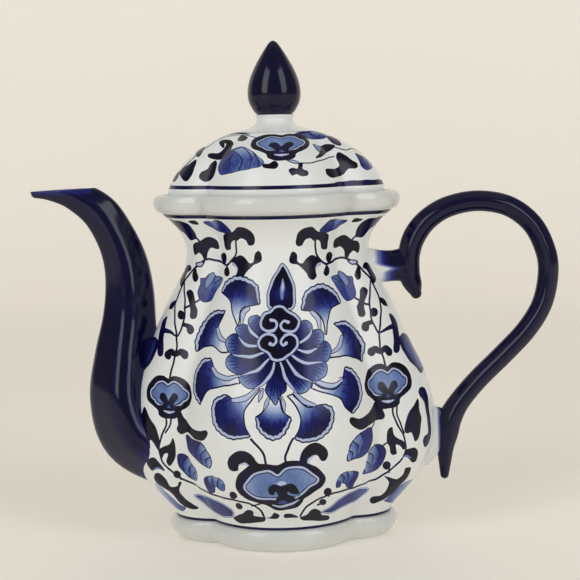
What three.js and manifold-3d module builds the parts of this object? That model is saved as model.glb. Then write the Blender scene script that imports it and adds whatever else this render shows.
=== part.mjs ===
// A tall blue-and-white porcelain teapot. Every cross-section of the pot and the lid is the same
// four-lobed oval: two round side lobes and two flatter lobes in front and behind, with soft grooves
// between them. Millimetres, +Z up, +Y to the back, spout towards -X, handle towards +X.
import * as THREE from "three";
import { mergeVertices } from "three/addons/utils/BufferGeometryUtils.js";
import Module from "manifold-3d";

// ---- Driving dimensions -------------------------------------------------------------------------

const AXIS_X = -8.1; // the pot's own axis, so that the whole object is centred between spout and handle
const GAP = 0.3; // between pieces that touch

// The lobed oval, as shares of its half-width along X.
const SIDE_CENTRE = 0.63;
const SIDE_RADIUS = 0.37;
const FRONT_CENTRE = 0.06;
const FRONT_RADIUS = 0.7;
const CRISP = 0.05; // groove rounding at the foot
const SOFT = 0.09; // groove rounding at the neck and the rim
const FAINT = 0.17; // groove rounding on the belly
const LID_FAINT = 0.14; // groove rounding on the lid

// Heights.
const BASE_Z = 10; // underside of the body, on the foot ring
const FLOOR_Z = 15.5; // inside of the body
const BELLY_Z = 50;
const NECK_Z = 132;
const SHOULDER_Z = 149.6; // top of the body, under the rim
const RIM_TOP_Z = 158.4;
const SEAT_Z = 157.2; // ledge inside the rim that the lid sits on
const LID_EDGE_TOP_Z = 161.8;
const LID_TOP_Z = 187.6;
const FLANGE_BOTTOM_Z = 147.5;
const BUD_BASE_Z = 194.1;
const BUD_TIP_Z = 227.2;
const MOUTH_Z = 161.4; // level cut of the spout's mouth

// Outlines of the turned shapes, as [half-width along X, height].
const BODY_OUTSIDE = [
  [49.8, BASE_Z + GAP],
  [51.6, 14],
  [58.4, 21.5],
  [65.4, 30],
  [70, 41],
  [71, BELLY_Z],
  [70.3, 61],
  [66.7, 75],
  [60.6, 88],
  [55.6, 100],
  [50.9, 110],
  [46.2, 118.5],
  [42.9, 125],
  [41.7, NECK_Z],
  [42.8, 138],
  [46.4, 144],
  [52.4, SHOULDER_Z],
];
const BODY_INSIDE = [
  [44.2, SHOULDER_Z],
  [41.4, 144],
  [39.1, 138],
  [38.2, NECK_Z],
  [39.4, 125],
  [42.7, 118.5],
  [47.3, 110],
  [52, 100],
  [57, 88],
  [63.1, 75],
  [66.7, 61],
  [67.4, BELLY_Z],
  [66.2, 41],
  [60.5, 29],
  [52, 20],
  [40, 16.2],
];
const FOOT_OUTSIDE = [
  [47.4, 0],
  [49.2, 0.8],
  [51.6, 3.4],
  [52.8, 6.6],
  [52.2, 8.8],
  [50.4, BASE_Z],
];
const FOOT_INSIDE = [
  [43.4, BASE_Z],
  [43, 5],
  [43.4, 0],
];
const RIM_OUTSIDE = [
  [45.6, SHOULDER_Z + GAP],
  [52.6, SHOULDER_Z + GAP],
  [55.2, 151.6],
  [56.5, 154.6],
  [56, 157],
  [54.2, RIM_TOP_Z],
  [51.6, RIM_TOP_Z - 0.2],
  [50.2, SEAT_Z],
];
const RIM_INSIDE = [
  [45, SEAT_Z],
  [44.2, 155.6],
  [44.2, 151.6],
];
const LID_OUTSIDE = [
  [48.9, LID_EDGE_TOP_Z],
  [46.9, 166],
  [43, 171.6],
  [37.9, 176.5],
  [31.4, 180.8],
  [24.4, 184.2],
  [16.5, 186.6],
  [9, LID_TOP_Z],
];
const LID_INSIDE = [
  [12, 183.4],
  [22, 180.6],
  [29.6, 176.8],
  [34.6, 171.6],
  [37.2, 165.6],
  [37.6, SEAT_Z + GAP],
];
const LID_EDGE_HALF = 49.4;
const FLANGE_OUTER = 41.4;
const FLANGE_INNER = 38.6;
const NECK_OUTLINE = [
  [11.6, LID_TOP_Z + GAP],
  [8.4, 189.6],
  [7.7, 191.4],
  [8.2, BUD_BASE_Z - GAP],
];
const BUD_OUTLINE = [
  [8.2, BUD_BASE_Z],
  [9.4, 195.2],
  [11.6, 199.6],
  [12.1, 204.3],
  [11, 210],
  [8.4, 216],
  [4.6, 222.4],
  [1.8, 226.2],
];

// Spout: [x from the axis, height, half-width in the plane of the pot, half-width along Y].
const SPOUT_STATIONS = [
  [-52, 40, 17, 15],
  [-66, 50, 18.5, 16.5],
  [-71.5, 66, 16.5, 16],
  [-71, 84, 14.4, 14],
  [-69.2, 101, 12.4, 12],
  [-68.6, 115, 11.2, 10.6],
  [-70, 128, 10.1, 9.4],
  [-74.2, 140, 9.1, 8.2],
  [-81.4, 151.3, 8.2, 7],
  [-92.4, 158.8, 6.6, 5.8],
  [-104.1, 162, 4.4, 4.6],
  [-115, 166, 3, 3.6],
];
const SPOUT_WALL = 2;
const SPOUT_FACET = [0.2, 0.3]; // half-lengths of the front and side flats, as shares of the half-widths

// Handle: [x from the axis, height, half-width], from the upper spur round to the lower spur.
const HANDLE_STATIONS = [
  [63, 109.4, 0.9],
  [61.6, 114, 3.1],
  [60, 121, 4.5],
  [60.3, 129, 5.1],
  [63, 137.2, 5.3],
  [69, 144.6, 5.1],
  [78.6, 150.2, 4.9],
  [92, 152.5, 4.8],
  [106, 149.8, 4.8],
  [116.8, 141.5, 4.8],
  [122.8, 129.5, 4.8],
  [124.1, 118.5, 4.8],
  [121.2, 104.5, 4.8],
  [113.8, 92.5, 4.8],
  [103, 81.2, 4.8],
  [91.6, 70.2, 4.8],
  [82.4, 59.4, 4.8],
  [77.4, 48, 4.3],
  [75.6, 36, 3.1],
  [75.4, 28.4, 2],
  [75.2, 22.8, 0.8],
];
const HANDLE_DEPTH = 1.12; // half-width along Y over half-width in the plane of the pot
const STUB_Z = 123.2;
const STUB_HALF_HEIGHT = 8.2;
const STUB_HALF_DEPTH = 6;
const PAD_Z = 45.5;
const PAD_HALF_HEIGHT = 11.5;
const PAD_HALF_DEPTH = 5.4;

// Pour hole and the pierced strainer that stands in it.
const POUR_Z = 50;
const POUR_RADIUS = 12.6;
const STRAINER_THICKNESS = 2.4;
const STRAINER_HOLE_RADIUS = 2.4;
const STRAINER_RING_RADIUS = 7.4;
const STRAINER_RING_HOLES = 6;

const AROUND = 48; // sides of the lobed shapes
const PORCELAIN = { color: 0xf1f2f3, roughness: 0.16, metalness: 0 };
const PAINTED = { color: 0xdde2ee, roughness: 0.16, metalness: 0 };
const COBALT = { color: 0x15163f, roughness: 0.12, metalness: 0 };

// ---- Tools ----------------------------------------------------------------------------------------

const wasm = await Module();
wasm.setup();

function welded(geometry) {
  const bare = geometry.clone();
  bare.deleteAttribute("normal");
  bare.deleteAttribute("uv");
  return mergeVertices(bare, 1e-4);
}

function turnedOver(index) {
  const flipped = new Uint32Array(index);
  for (let i = 0; i < flipped.length; i += 3) {
    [flipped[i + 1], flipped[i + 2]] = [index[i + 2], index[i + 1]];
  }
  return flipped;
}

// A closed geometry as a solid for joining and cutting, with its faces turned to point outwards.
function solid(geometry) {
  const merged = welded(geometry);
  const vertProperties = merged.attributes.position.array;
  const triVerts = new Uint32Array(merged.index.array);
  const made = new wasm.Manifold(new wasm.Mesh({ numProp: 3, vertProperties, triVerts }));
  if (made.volume() > 0) return made;
  const outward = { numProp: 3, vertProperties, triVerts: turnedOver(triVerts) };
  return new wasm.Manifold(new wasm.Mesh(outward));
}

function geometryOf(made) {
  const mesh = made.getMesh();
  const geometry = new THREE.BufferGeometry();
  geometry.setAttribute("position", new THREE.BufferAttribute(mesh.vertProperties, 3));
  geometry.setIndex(new THREE.BufferAttribute(mesh.triVerts, 1));
  geometry.computeVertexNormals();
  return geometry;
}

// How far a ray at angle phi goes before it leaves the lobed oval of half-width 1.
function lobedOval(phi, rounding) {
  const c = Math.abs(Math.cos(phi));
  const s = Math.abs(Math.sin(phi));
  const sideRoom = SIDE_RADIUS ** 2 - (SIDE_CENTRE * s) ** 2;
  const side = sideRoom > 0 ? SIDE_CENTRE * c + Math.sqrt(sideRoom) : 0;
  const front = FRONT_CENTRE * s + Math.sqrt(FRONT_RADIUS ** 2 - (FRONT_CENTRE * c) ** 2);
  const overlap = Math.max(rounding - Math.abs(side - front), 0) / rounding;
  return Math.max(side, front) + (overlap * overlap * rounding) / 4;
}

// The pot's grooves are crisp at the foot, fade out on the belly and come back at the neck and the rim.
function potGroove(z) {
  const up = THREE.MathUtils.smoothstep(z, BASE_Z, 36);
  const down = THREE.MathUtils.smoothstep(z, 78, SHOULDER_Z);
  return THREE.MathUtils.lerp(CRISP, FAINT, up) + (SOFT - FAINT) * down;
}

// Turns a profile about the Z axis, then gives each ring the lobed section. groove(z) is the rounding
// of its grooves, and round(radius) says how far a ring is blended back to a plain circle.
function lobedLathe(profile, groove = potGroove, round = () => 0) {
  const points = profile.map(([r, z]) => new THREE.Vector2(r, z));
  const geometry = new THREE.LatheGeometry(points, AROUND).rotateX(Math.PI / 2);
  const p = geometry.attributes.position;
  for (let i = 0; i < p.count; i++) {
    const radius = Math.hypot(p.getX(i), p.getY(i));
    const phi = Math.atan2(p.getY(i), p.getX(i));
    const lobed = lobedOval(phi, groove(p.getZ(i)));
    const scale = THREE.MathUtils.lerp(lobed, 1, round(radius));
    p.setXY(i, p.getX(i) * scale, p.getY(i) * scale);
  }
  return geometry;
}

function smooth(outline, steps) {
  return new THREE.SplineCurve(outline.map(([r, z]) => new THREE.Vector2(r, z)))
    .getPoints(steps)
    .map((p) => [p.x, p.y]);
}

function offset(outline, by) {
  return outline.map(([r, z]) => [r + by, z]);
}

// A tapering bar along a curve in the XZ plane: stations are [x, z, half-width, half-depth], and
// section(phi) is the shape of its cross-section, 1 for a plain ellipse.
function taperedSweep(stations, steps, sides, section = () => 1) {
  const line = new THREE.SplineCurve(stations.map(([x, z]) => new THREE.Vector2(x, z)));
  const size = new THREE.SplineCurve(stations.map(([, , w, d]) => new THREE.Vector2(w, d)));
  const geometry = new THREE.CylinderGeometry(1, 1, 1, sides, steps);
  const p = geometry.attributes.position;
  for (let i = 0; i < p.count; i++) {
    const t = THREE.MathUtils.clamp(0.5 - p.getY(i), 0, 1);
    const at = line.getPoint(t);
    const along = line.getTangent(t);
    const { x: halfWidth, y: halfDepth } = size.getPoint(t);
    const phi = Math.atan2(p.getZ(i), p.getX(i));
    const reach = Math.hypot(p.getX(i), p.getZ(i)) * section(phi);
    const across = reach * halfWidth * Math.cos(phi);
    const deep = reach * halfDepth * Math.sin(phi);
    p.setXYZ(i, at.x - along.y * across, deep, at.y + along.x * across);
  }
  return geometry;
}

// Reach of the eight-sided spout section: two flats in front and behind, two at the sides, and four
// slanting facets between them.
function facetedSection(phi) {
  const c = Math.abs(Math.cos(phi));
  const s = Math.abs(Math.sin(phi));
  const [front, side] = SPOUT_FACET;
  const slant = 1 / (1 - front * side);
  const diagonal = 1 / (slant * ((1 - side) * c + (1 - front) * s));
  return Math.min(1 / Math.max(c, 1e-9), 1 / Math.max(s, 1e-9), diagonal);
}

function withInnerSize(stations, wall) {
  return stations.map(([x, z, w, d]) => [x, z, w - wall, d - wall]);
}

// ---- Pieces ---------------------------------------------------------------------------------------

const bodyOutline = smooth(BODY_OUTSIDE, 18);

// The space the body fills, grown by a gap, with no hollow. Its neighbours are cut back from it.
function bodyEnvelope() {
  const grown = offset(bodyOutline, GAP);
  return solid(lobedLathe([[0, BASE_Z], [grown[0][0], BASE_Z], ...grown, [0, SHOULDER_Z + GAP]]));
}

function pourHole(radius, reach) {
  return solid(
    new THREE.CylinderGeometry(radius, radius, reach, 24)
      .rotateZ(Math.PI / 2)
      .translate(-64 - reach / 2 + 4, 0, POUR_Z),
  );
}

function bodyShell() {
  const profile = [[0, BASE_Z + GAP], ...bodyOutline, ...smooth(BODY_INSIDE, 12), [0, FLOOR_Z]];
  return geometryOf(solid(lobedLathe(profile)).subtract(pourHole(POUR_RADIUS + GAP, 14)));
}

function strainer() {
  let plate = solid(
    new THREE.CylinderGeometry(POUR_RADIUS, POUR_RADIUS, STRAINER_THICKNESS, 24).rotateZ(Math.PI / 2),
  );
  const places = [[0, 0]];
  for (let i = 0; i < STRAINER_RING_HOLES; i++) {
    const turn = (i / STRAINER_RING_HOLES) * 2 * Math.PI;
    places.push([STRAINER_RING_RADIUS * Math.cos(turn), STRAINER_RING_RADIUS * Math.sin(turn)]);
  }
  for (const [y, z] of places) {
    const hole = new THREE.CylinderGeometry(STRAINER_HOLE_RADIUS, STRAINER_HOLE_RADIUS, 10, 10);
    plate = plate.subtract(solid(hole.rotateZ(Math.PI / 2).translate(0, y, z)));
  }
  return geometryOf(plate);
}

function footRing() {
  const profile = [...smooth(FOOT_OUTSIDE, 6), ...FOOT_INSIDE, FOOT_OUTSIDE[0]];
  return geometryOf(solid(lobedLathe(profile)));
}

function rimCollar() {
  return geometryOf(solid(lobedLathe([...RIM_OUTSIDE, ...RIM_INSIDE, RIM_OUTSIDE[0]])));
}

function lidGroove() {
  return LID_FAINT;
}

// The lid's rings turn from the lobed oval into circles towards the finial.
function lidRoundness(radius) {
  return 1 - THREE.MathUtils.smoothstep(radius, 9, 30);
}

function lidDome() {
  const profile = [
    [0, 183.8],
    ...smooth(LID_INSIDE, 7),
    [LID_EDGE_HALF, SEAT_Z + GAP],
    [LID_EDGE_HALF, LID_EDGE_TOP_Z - 0.8],
    ...smooth(LID_OUTSIDE, 10),
    [0, LID_TOP_Z],
  ];
  return geometryOf(solid(lobedLathe(profile, lidGroove, lidRoundness)));
}

function lidFlange() {
  const profile = [
    [FLANGE_INNER, SEAT_Z],
    [FLANGE_INNER, FLANGE_BOTTOM_Z],
    [FLANGE_OUTER - 0.8, FLANGE_BOTTOM_Z],
    [FLANGE_OUTER, FLANGE_BOTTOM_Z + 1.2],
    [FLANGE_OUTER, SEAT_Z],
    [FLANGE_INNER, SEAT_Z],
  ];
  return geometryOf(solid(lobedLathe(profile)));
}

function turned(outline, steps, bottom, top) {
  const profile = [[0, bottom], ...smooth(outline, steps), [0, top]];
  const points = profile.map(([r, z]) => new THREE.Vector2(r, z));
  return geometryOf(solid(new THREE.LatheGeometry(points, 24).rotateX(Math.PI / 2)));
}

function spout() {
  const horn = solid(taperedSweep(SPOUT_STATIONS, 22, 16, facetedSection));
  const channel = solid(taperedSweep(withInnerSize(SPOUT_STATIONS, SPOUT_WALL), 22, 12));
  const above = solid(new THREE.BoxGeometry(120, 60, 30).translate(-90, 0, MOUTH_Z + 15));
  return geometryOf(horn.subtract(channel).subtract(above).subtract(bodyEnvelope()));
}

function handleBar(grow) {
  const stations = HANDLE_STATIONS.map(([x, z, w]) => [x, z, w + grow, (w + grow) * HANDLE_DEPTH]);
  return solid(taperedSweep(stations, 38, 12));
}

// A short bar along X between the body and the handle, shaped to both.
function bridge(z, halfHeight, halfDepth, fromX, toX) {
  const bar = new THREE.CylinderGeometry(1, 1, toX - fromX, 20)
    .rotateZ(Math.PI / 2)
    .scale(1, halfDepth, halfHeight)
    .translate((fromX + toX) / 2, 0, z);
  const cut = solid(bar).subtract(bodyEnvelope()).subtract(handleBar(GAP));
  const pieces = cut.decompose().sort((a, b) => b.volume() - a.volume());
  return geometryOf(pieces[0]);
}

// ---- The object -----------------------------------------------------------------------------------

const teapot = new THREE.Group();
teapot.position.x = AXIS_X;

function add(name, geometry, look) {
  const mesh = new THREE.Mesh(geometry, new THREE.MeshStandardMaterial(look));
  mesh.name = name;
  teapot.add(mesh);
  return mesh;
}

add("body_shell", bodyShell(), PAINTED);
add("foot_ring", footRing(), PORCELAIN);
add("rim_collar", rimCollar(), PORCELAIN);
add("spout", spout(), COBALT);
add("spout_strainer", strainer(), PORCELAIN).position.set(-68.6, 0, POUR_Z);
add("handle_loop", geometryOf(handleBar(0)), COBALT);
add("handle_upper_stub", bridge(STUB_Z, STUB_HALF_HEIGHT, STUB_HALF_DEPTH, 40, 60), PORCELAIN);
add("handle_lower_pad", bridge(PAD_Z, PAD_HALF_HEIGHT, PAD_HALF_DEPTH, 62, 77), COBALT);
add("lid_dome", lidDome(), PAINTED);
add("lid_flange", lidFlange(), PORCELAIN);
add("finial_neck", turned(NECK_OUTLINE, 6, LID_TOP_Z + GAP, BUD_BASE_Z - GAP), PORCELAIN);
add("finial_bud", turned(BUD_OUTLINE, 12, BUD_BASE_Z, BUD_TIP_Z), COBALT);

export default teapot;
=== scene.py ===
"""A tall blue-and-white porcelain teapot, painted by hand with flowers, scrolling leaves and hearts.

Shapes are worked out in millimetres from the pot's own axis, and turned into metres in the CAD
model's frame when a mesh is made. A place on the painted skin is (s, t): s millimetres round the pot
from the middle of the front, towards the handle, and t the height on the body, or the distance up
the dome on the lid.
"""

import math

import bpy
import numpy as np
from mathutils import Matrix, Vector
from mathutils.geometry import delaunay_2d_cdt


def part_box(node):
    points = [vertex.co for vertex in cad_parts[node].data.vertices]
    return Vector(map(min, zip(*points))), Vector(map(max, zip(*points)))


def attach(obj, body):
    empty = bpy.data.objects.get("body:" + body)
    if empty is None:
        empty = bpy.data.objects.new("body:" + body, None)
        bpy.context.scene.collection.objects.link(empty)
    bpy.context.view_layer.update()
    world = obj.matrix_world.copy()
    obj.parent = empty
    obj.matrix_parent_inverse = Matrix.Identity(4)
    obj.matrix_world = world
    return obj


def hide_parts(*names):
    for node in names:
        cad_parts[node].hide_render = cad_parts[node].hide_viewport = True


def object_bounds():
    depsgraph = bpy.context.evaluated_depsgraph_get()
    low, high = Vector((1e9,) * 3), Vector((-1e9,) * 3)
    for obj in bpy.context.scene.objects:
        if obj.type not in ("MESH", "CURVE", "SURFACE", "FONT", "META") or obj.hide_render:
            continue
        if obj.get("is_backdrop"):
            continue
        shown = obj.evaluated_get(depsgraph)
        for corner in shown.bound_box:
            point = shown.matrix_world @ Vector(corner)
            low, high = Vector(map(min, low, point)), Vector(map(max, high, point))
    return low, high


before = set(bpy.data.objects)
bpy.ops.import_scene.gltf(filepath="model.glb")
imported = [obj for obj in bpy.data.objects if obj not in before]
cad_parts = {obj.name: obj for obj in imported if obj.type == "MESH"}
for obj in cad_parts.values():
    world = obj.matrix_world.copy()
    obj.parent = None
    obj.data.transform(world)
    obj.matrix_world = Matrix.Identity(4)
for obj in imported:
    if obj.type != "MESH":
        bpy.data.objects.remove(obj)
cad_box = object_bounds()

# ---- Driving sizes, in millimetres ----------------------------------------------------------------

MM = 0.001
FOOT_LOW, FOOT_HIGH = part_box("foot_ring")
AXIS_X = (FOOT_LOW[0] + FOOT_HIGH[0]) / 2 / MM

# The lobed oval, as shares of its half-width along X.
SIDE_CENTRE = 0.63
SIDE_RADIUS = 0.37
FRONT_CENTRE = 0.06
FRONT_RADIUS = 0.7
CRISP, SOFT, FAINT = 0.05, 0.09, 0.17
LID_GROOVE = 0.14
MEASURE_GROOVE = 0.12

BODY_LOW, BODY_HIGH = 10.3, 149.6
BODY_OUTSIDE = [
    (49.8, 10.3), (51.6, 14), (58.4, 21.5), (65.4, 30), (70, 41), (71, 50), (70.3, 61), (66.7, 75),
    (60.6, 88), (55.6, 100), (50.9, 110), (46.2, 118.5), (42.9, 125), (41.7, 132), (42.8, 138),
    (46.4, 144), (52.4, 149.6),
]
BODY_INSIDE = [
    (44.2, 149.6), (41.4, 144), (39.1, 138), (38.2, 132), (39.4, 125), (42.7, 118.5), (47.3, 110),
    (52, 100), (57, 88), (63.1, 75), (66.7, 61), (67.4, 50), (66.2, 41), (60.5, 29), (52, 20),
    (40, 16.2), (24, 15.6), (0, 15.5),
]
FOOT_SECTION = [
    (43.6, 1.2), (44.4, 0.2), (46.4, 0), (49, 0.7), (51.6, 3.4), (52.8, 6.6), (52.3, 8.7), (51, 9.8),
    (48, 10.2), (44, 9.6), (43, 7), (43, 4),
]
RIM_SECTION = [
    (45.2, 150.1), (49, 149.9), (52.6, 150), (55.2, 151.5), (56.4, 154.4), (56, 157), (54.2, 158.4),
    (51.9, 158.3), (50.3, 157.3), (48, 157), (45.4, 157), (44.4, 156.2), (44.2, 154), (44.3, 151.6),
]
LID_OUTSIDE = [
    (49, 158), (49.4, 159.2), (49.4, 160.6), (48.9, 161.8), (46.9, 166), (43, 171.6), (37.9, 176.5),
    (31.4, 180.8), (24.4, 184.2), (16.5, 186.6), (9, 187.7), (4, 187.9),
]
LID_INSIDE = [
    (0, 183.8), (12, 183.4), (22, 180.6), (29.6, 176.8), (34.6, 171.6), (37.2, 165.6), (37.8, 158.4),
    (38.4, 157.6), (44, 157.5), (48.4, 157.5), (49, 158),
]
LID_EDGE_Z = 161
FLANGE_SECTION = [
    (38.6, 156.9), (38.6, 149), (38.9, 147.8), (39.8, 147.5), (41, 148), (41.4, 149.5), (41.4, 156.9),
]
NECK_OUTLINE = [
    (0, 185.8), (17.5, 185.9), (13, 187.6), (10, 188.8), (8.7, 190.2), (8.2, 192), (8.3, 193.8), (0, 194),
]
BUD_OUTLINE = [
    (0, 193.9), (7.4, 193.9), (8.5, 194.4), (9.6, 195.6), (11.6, 199.6), (12.1, 204.3), (11, 210),
    (8.4, 216), (4.6, 222.4), (1.8, 226.2), (0, 227.2),
]

# Spout: [x from the axis, height, half-width in the plane of the pot, half-width along Y].
SPOUT_STATIONS = [
    (-52, 40, 17, 20.4), (-66, 50, 18.5, 22), (-71.5, 66, 17, 21), (-71, 84, 14.8, 17),
    (-69.2, 101, 12.4, 12), (-68.6, 115, 11.2, 10.6), (-70, 128, 10.1, 9.4), (-74.2, 140, 9.1, 8.2),
    (-81.4, 151.6, 8.5, 7), (-92.4, 159, 6.8, 5.8), (-103, 161.6, 4.8, 4.6), (-110.6, 162.2, 3.9, 3.8),
]
SPOUT_BORE_END = (-112, 164.6, 3.4, 3.4)
SPOUT_WALL = 2
SPOUT_ROOT_DEPTH = 1.2
MOUTH_Z = 161.4
# The mouth's cut rises from the beak to the pot: [x from the axis, height over MOUTH_Z].
MOUTH_CUT = [(-140, -1.1), (-60, 1.9)]
FACET = (0.2, 0.3)

# Handle: [x from the axis, height, half-width], from the upper spur round to the lower spur.
HANDLE_STATIONS = [
    (63.2, 110.6, 2.6), (61.9, 114.4, 4.2), (60.2, 120, 5), (60.3, 129, 5.1), (63, 137.2, 5.3),
    (69, 144.6, 5.1), (78.6, 150.2, 4.9), (92, 152.5, 4.8), (106, 149.8, 4.8), (116.8, 141.5, 4.8),
    (122.8, 129.5, 4.8), (124.1, 118.5, 4.8), (121.2, 104.5, 4.8), (113.8, 92.5, 4.8),
    (103, 81.2, 4.8), (91.6, 70.2, 4.8), (82.8, 60, 5), (78.2, 52, 5.6), (76.6, 45, 5.4),
    (75.8, 38, 4), (75.5, 31, 2.9), (75.3, 25.4, 2),
]
HANDLE_DEPTH = 1.12

# The stub at the neck and the pad at the belly: [x from the axis, height, half-height, half-width
# along Y].
STUB_STATIONS = [
    (37, 123.6, 9.6, 7.4), (42.5, 123.4, 8.9, 6.6), (47, 123.4, 7.9, 5.9), (53, 123.6, 7.5, 5.5),
    (58.6, 124, 8.3, 5.5), (61, 124, 7.4, 4.2),
]
PAD_STATIONS = [(62, 47, 12.6, 5.2), (68, 45.6, 13.2, 4.9), (71.4, 43.4, 14, 4.6), (75.2, 40.6, 14.4, 3)]

# Density of the blue, from bare porcelain to the thickest paint.
PALE, LIGHT, MID, DEEP, NAVY, BLACK = 0.16, 0.36, 0.5, 0.66, 0.85, 0.97


# ---- Curves and sections --------------------------------------------------------------------------

def spline(points, per_span=8, closed=False):
    """A smooth curve through the points."""
    p = np.asarray(points, float)
    n = len(p)
    t = np.linspace(0, 1, per_span, endpoint=False)[:, None]
    stretches = []
    for i in range(n if closed else n - 1):
        before = p[i - 1] if closed or i > 0 else p[0]
        start = p[i]
        end = p[(i + 1) % n]
        after = p[(i + 2) % n] if closed or i + 2 < n else p[-1]
        leave = (end - before) / 2
        arrive = (after - start) / 2
        cubic = 2 * start - 2 * end + leave + arrive
        square = -3 * start + 3 * end - 2 * leave - arrive
        stretches.append(cubic * t**3 + square * t**2 + leave * t + start)
    if not closed:
        stretches.append(p[-1:])
    return np.concatenate(stretches)


def smoothstep(x, low, high):
    t = np.clip((x - low) / (high - low), 0, 1)
    return t * t * (3 - 2 * t)


def lobed(phi, rounding):
    """How far a ray at angle phi goes before it leaves the lobed oval of half-width 1."""
    c = np.abs(np.cos(phi))
    s = np.abs(np.sin(phi))
    room = SIDE_RADIUS**2 - (SIDE_CENTRE * s) ** 2
    side = np.where(room > 0, SIDE_CENTRE * c + np.sqrt(np.maximum(room, 0)), 0)
    front = FRONT_CENTRE * s + np.sqrt(FRONT_RADIUS**2 - (FRONT_CENTRE * c) ** 2)
    overlap = np.maximum(rounding - np.abs(side - front), 0) / rounding
    return np.maximum(side, front) + overlap**2 * rounding / 4


def pot_groove(z):
    """The grooves are crisp at the foot, fade out on the belly and come back at the neck."""
    lower = CRISP + (FAINT - CRISP) * smoothstep(z, BODY_LOW, 36)
    return lower + (SOFT - FAINT) * smoothstep(z, 78, BODY_HIGH)


QUARTER_PHI = np.linspace(-math.pi / 2, 0, 721)
_reach = lobed(QUARTER_PHI, MEASURE_GROOVE)
_across = np.diff(_reach * np.cos(QUARTER_PHI))
_deep = np.diff(_reach * np.sin(QUARTER_PHI))
QUARTER_SHARE = np.concatenate([[0], np.cumsum(np.hypot(_across, _deep))])
QUARTER = QUARTER_SHARE[-1]
QUARTER_SHARE = QUARTER_SHARE / QUARTER


def angle_at(f):
    """The angle round the pot of f quarter turns from the middle of the front."""
    q = np.mod(np.asarray(f, float), 4)
    m = np.mod(q, 2)
    near = np.interp(m, QUARTER_SHARE, QUARTER_PHI)
    far = -np.interp(2 - m, QUARTER_SHARE, QUARTER_PHI)
    return np.where(m <= 1, near, far) + np.where(q >= 2, math.pi, 0)


def ring_points(f, half_width, z, groove, roundness=0.0):
    phi = angle_at(f)
    reach = half_width * (lobed(phi, groove) * (1 - roundness) + roundness)
    return np.stack([reach * np.cos(phi), reach * np.sin(phi), z + 0 * phi], axis=-1)


class Skin:
    """The painted outside of a lobed shape. Its places are (s, t), and f is s in quarter turns."""

    def __init__(self, profile, t, groove, round_from=None):
        self.t = t
        self.half = profile[:, 0]
        self.z = profile[:, 1]
        self.groove = groove
        self.round_from = round_from

    def roundness(self, half):
        if self.round_from is None:
            return 0 * half
        return 1 - smoothstep(half, *self.round_from)

    def points(self, f, t):
        half = np.interp(t, self.t, self.half)
        z = np.interp(t, self.t, self.z)
        return ring_points(f, half, z, self.groove(z), self.roundness(half))

    def quarter(self, t):
        half = np.interp(t, self.t, self.half)
        roundness = self.roundness(half)
        return half * (QUARTER * (1 - roundness) + math.pi / 2 * roundness)

    def normals(self, f, t):
        step_f, step_t = 0.01, 0.6
        t = np.clip(t, self.t[0] + step_t, self.t[-1] - step_t)
        around = self.points(f + step_f, t) - self.points(f - step_f, t)
        upward = self.points(f, t + step_t) - self.points(f, t - step_t)
        normal = np.cross(around, upward)
        return normal / np.maximum(np.linalg.norm(normal, axis=-1, keepdims=True), 1e-9)


# ---- Painting: outlines on the skin, each with a density of blue -----------------------------------

def inset(outline, by):
    """The outline moved inwards by a distance, whichever way round it runs."""
    ahead = np.roll(outline, -1, 0) - np.roll(outline, 1, 0)
    size = np.maximum(np.linalg.norm(ahead, axis=1, keepdims=True), 1e-9)
    side = np.stack([-ahead[:, 1], ahead[:, 0]], 1) / size
    x, y = outline[:, 0], outline[:, 1]
    turning = np.sum(x * np.roll(y, -1) - np.roll(x, -1) * y)
    amount = np.asarray(by, float).reshape(-1, 1)
    return outline + side * amount * (1 if turning > 0 else -1)


def fade(start, end, low, high, power=1.0):
    """A density that goes from low at the start to high at the end."""
    a = np.asarray(start, float)
    along = np.asarray(end, float) - a

    def density(p):
        share = np.clip((p - a) @ along / (along @ along), 0, 1) ** power
        return low + (high - low) * share

    return density


def around(centre, reach, inner, outer, power=1.0):
    """A density that goes from inner at the centre to outer at a distance."""
    c = np.asarray(centre, float)

    def density(p):
        share = np.clip(np.linalg.norm(p - c, axis=1) / reach, 0, 1) ** power
        return inner + (outer - inner) * share

    return density


def petal_wash(root, reach):
    """Bare at the stem, deep blue from half-way out to the crown."""
    stem = np.asarray(root, float)

    def density(p):
        return 0.07 + 0.74 * smoothstep(np.linalg.norm(p - stem, axis=1) / reach, 0.12, 0.86)

    return density


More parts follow.
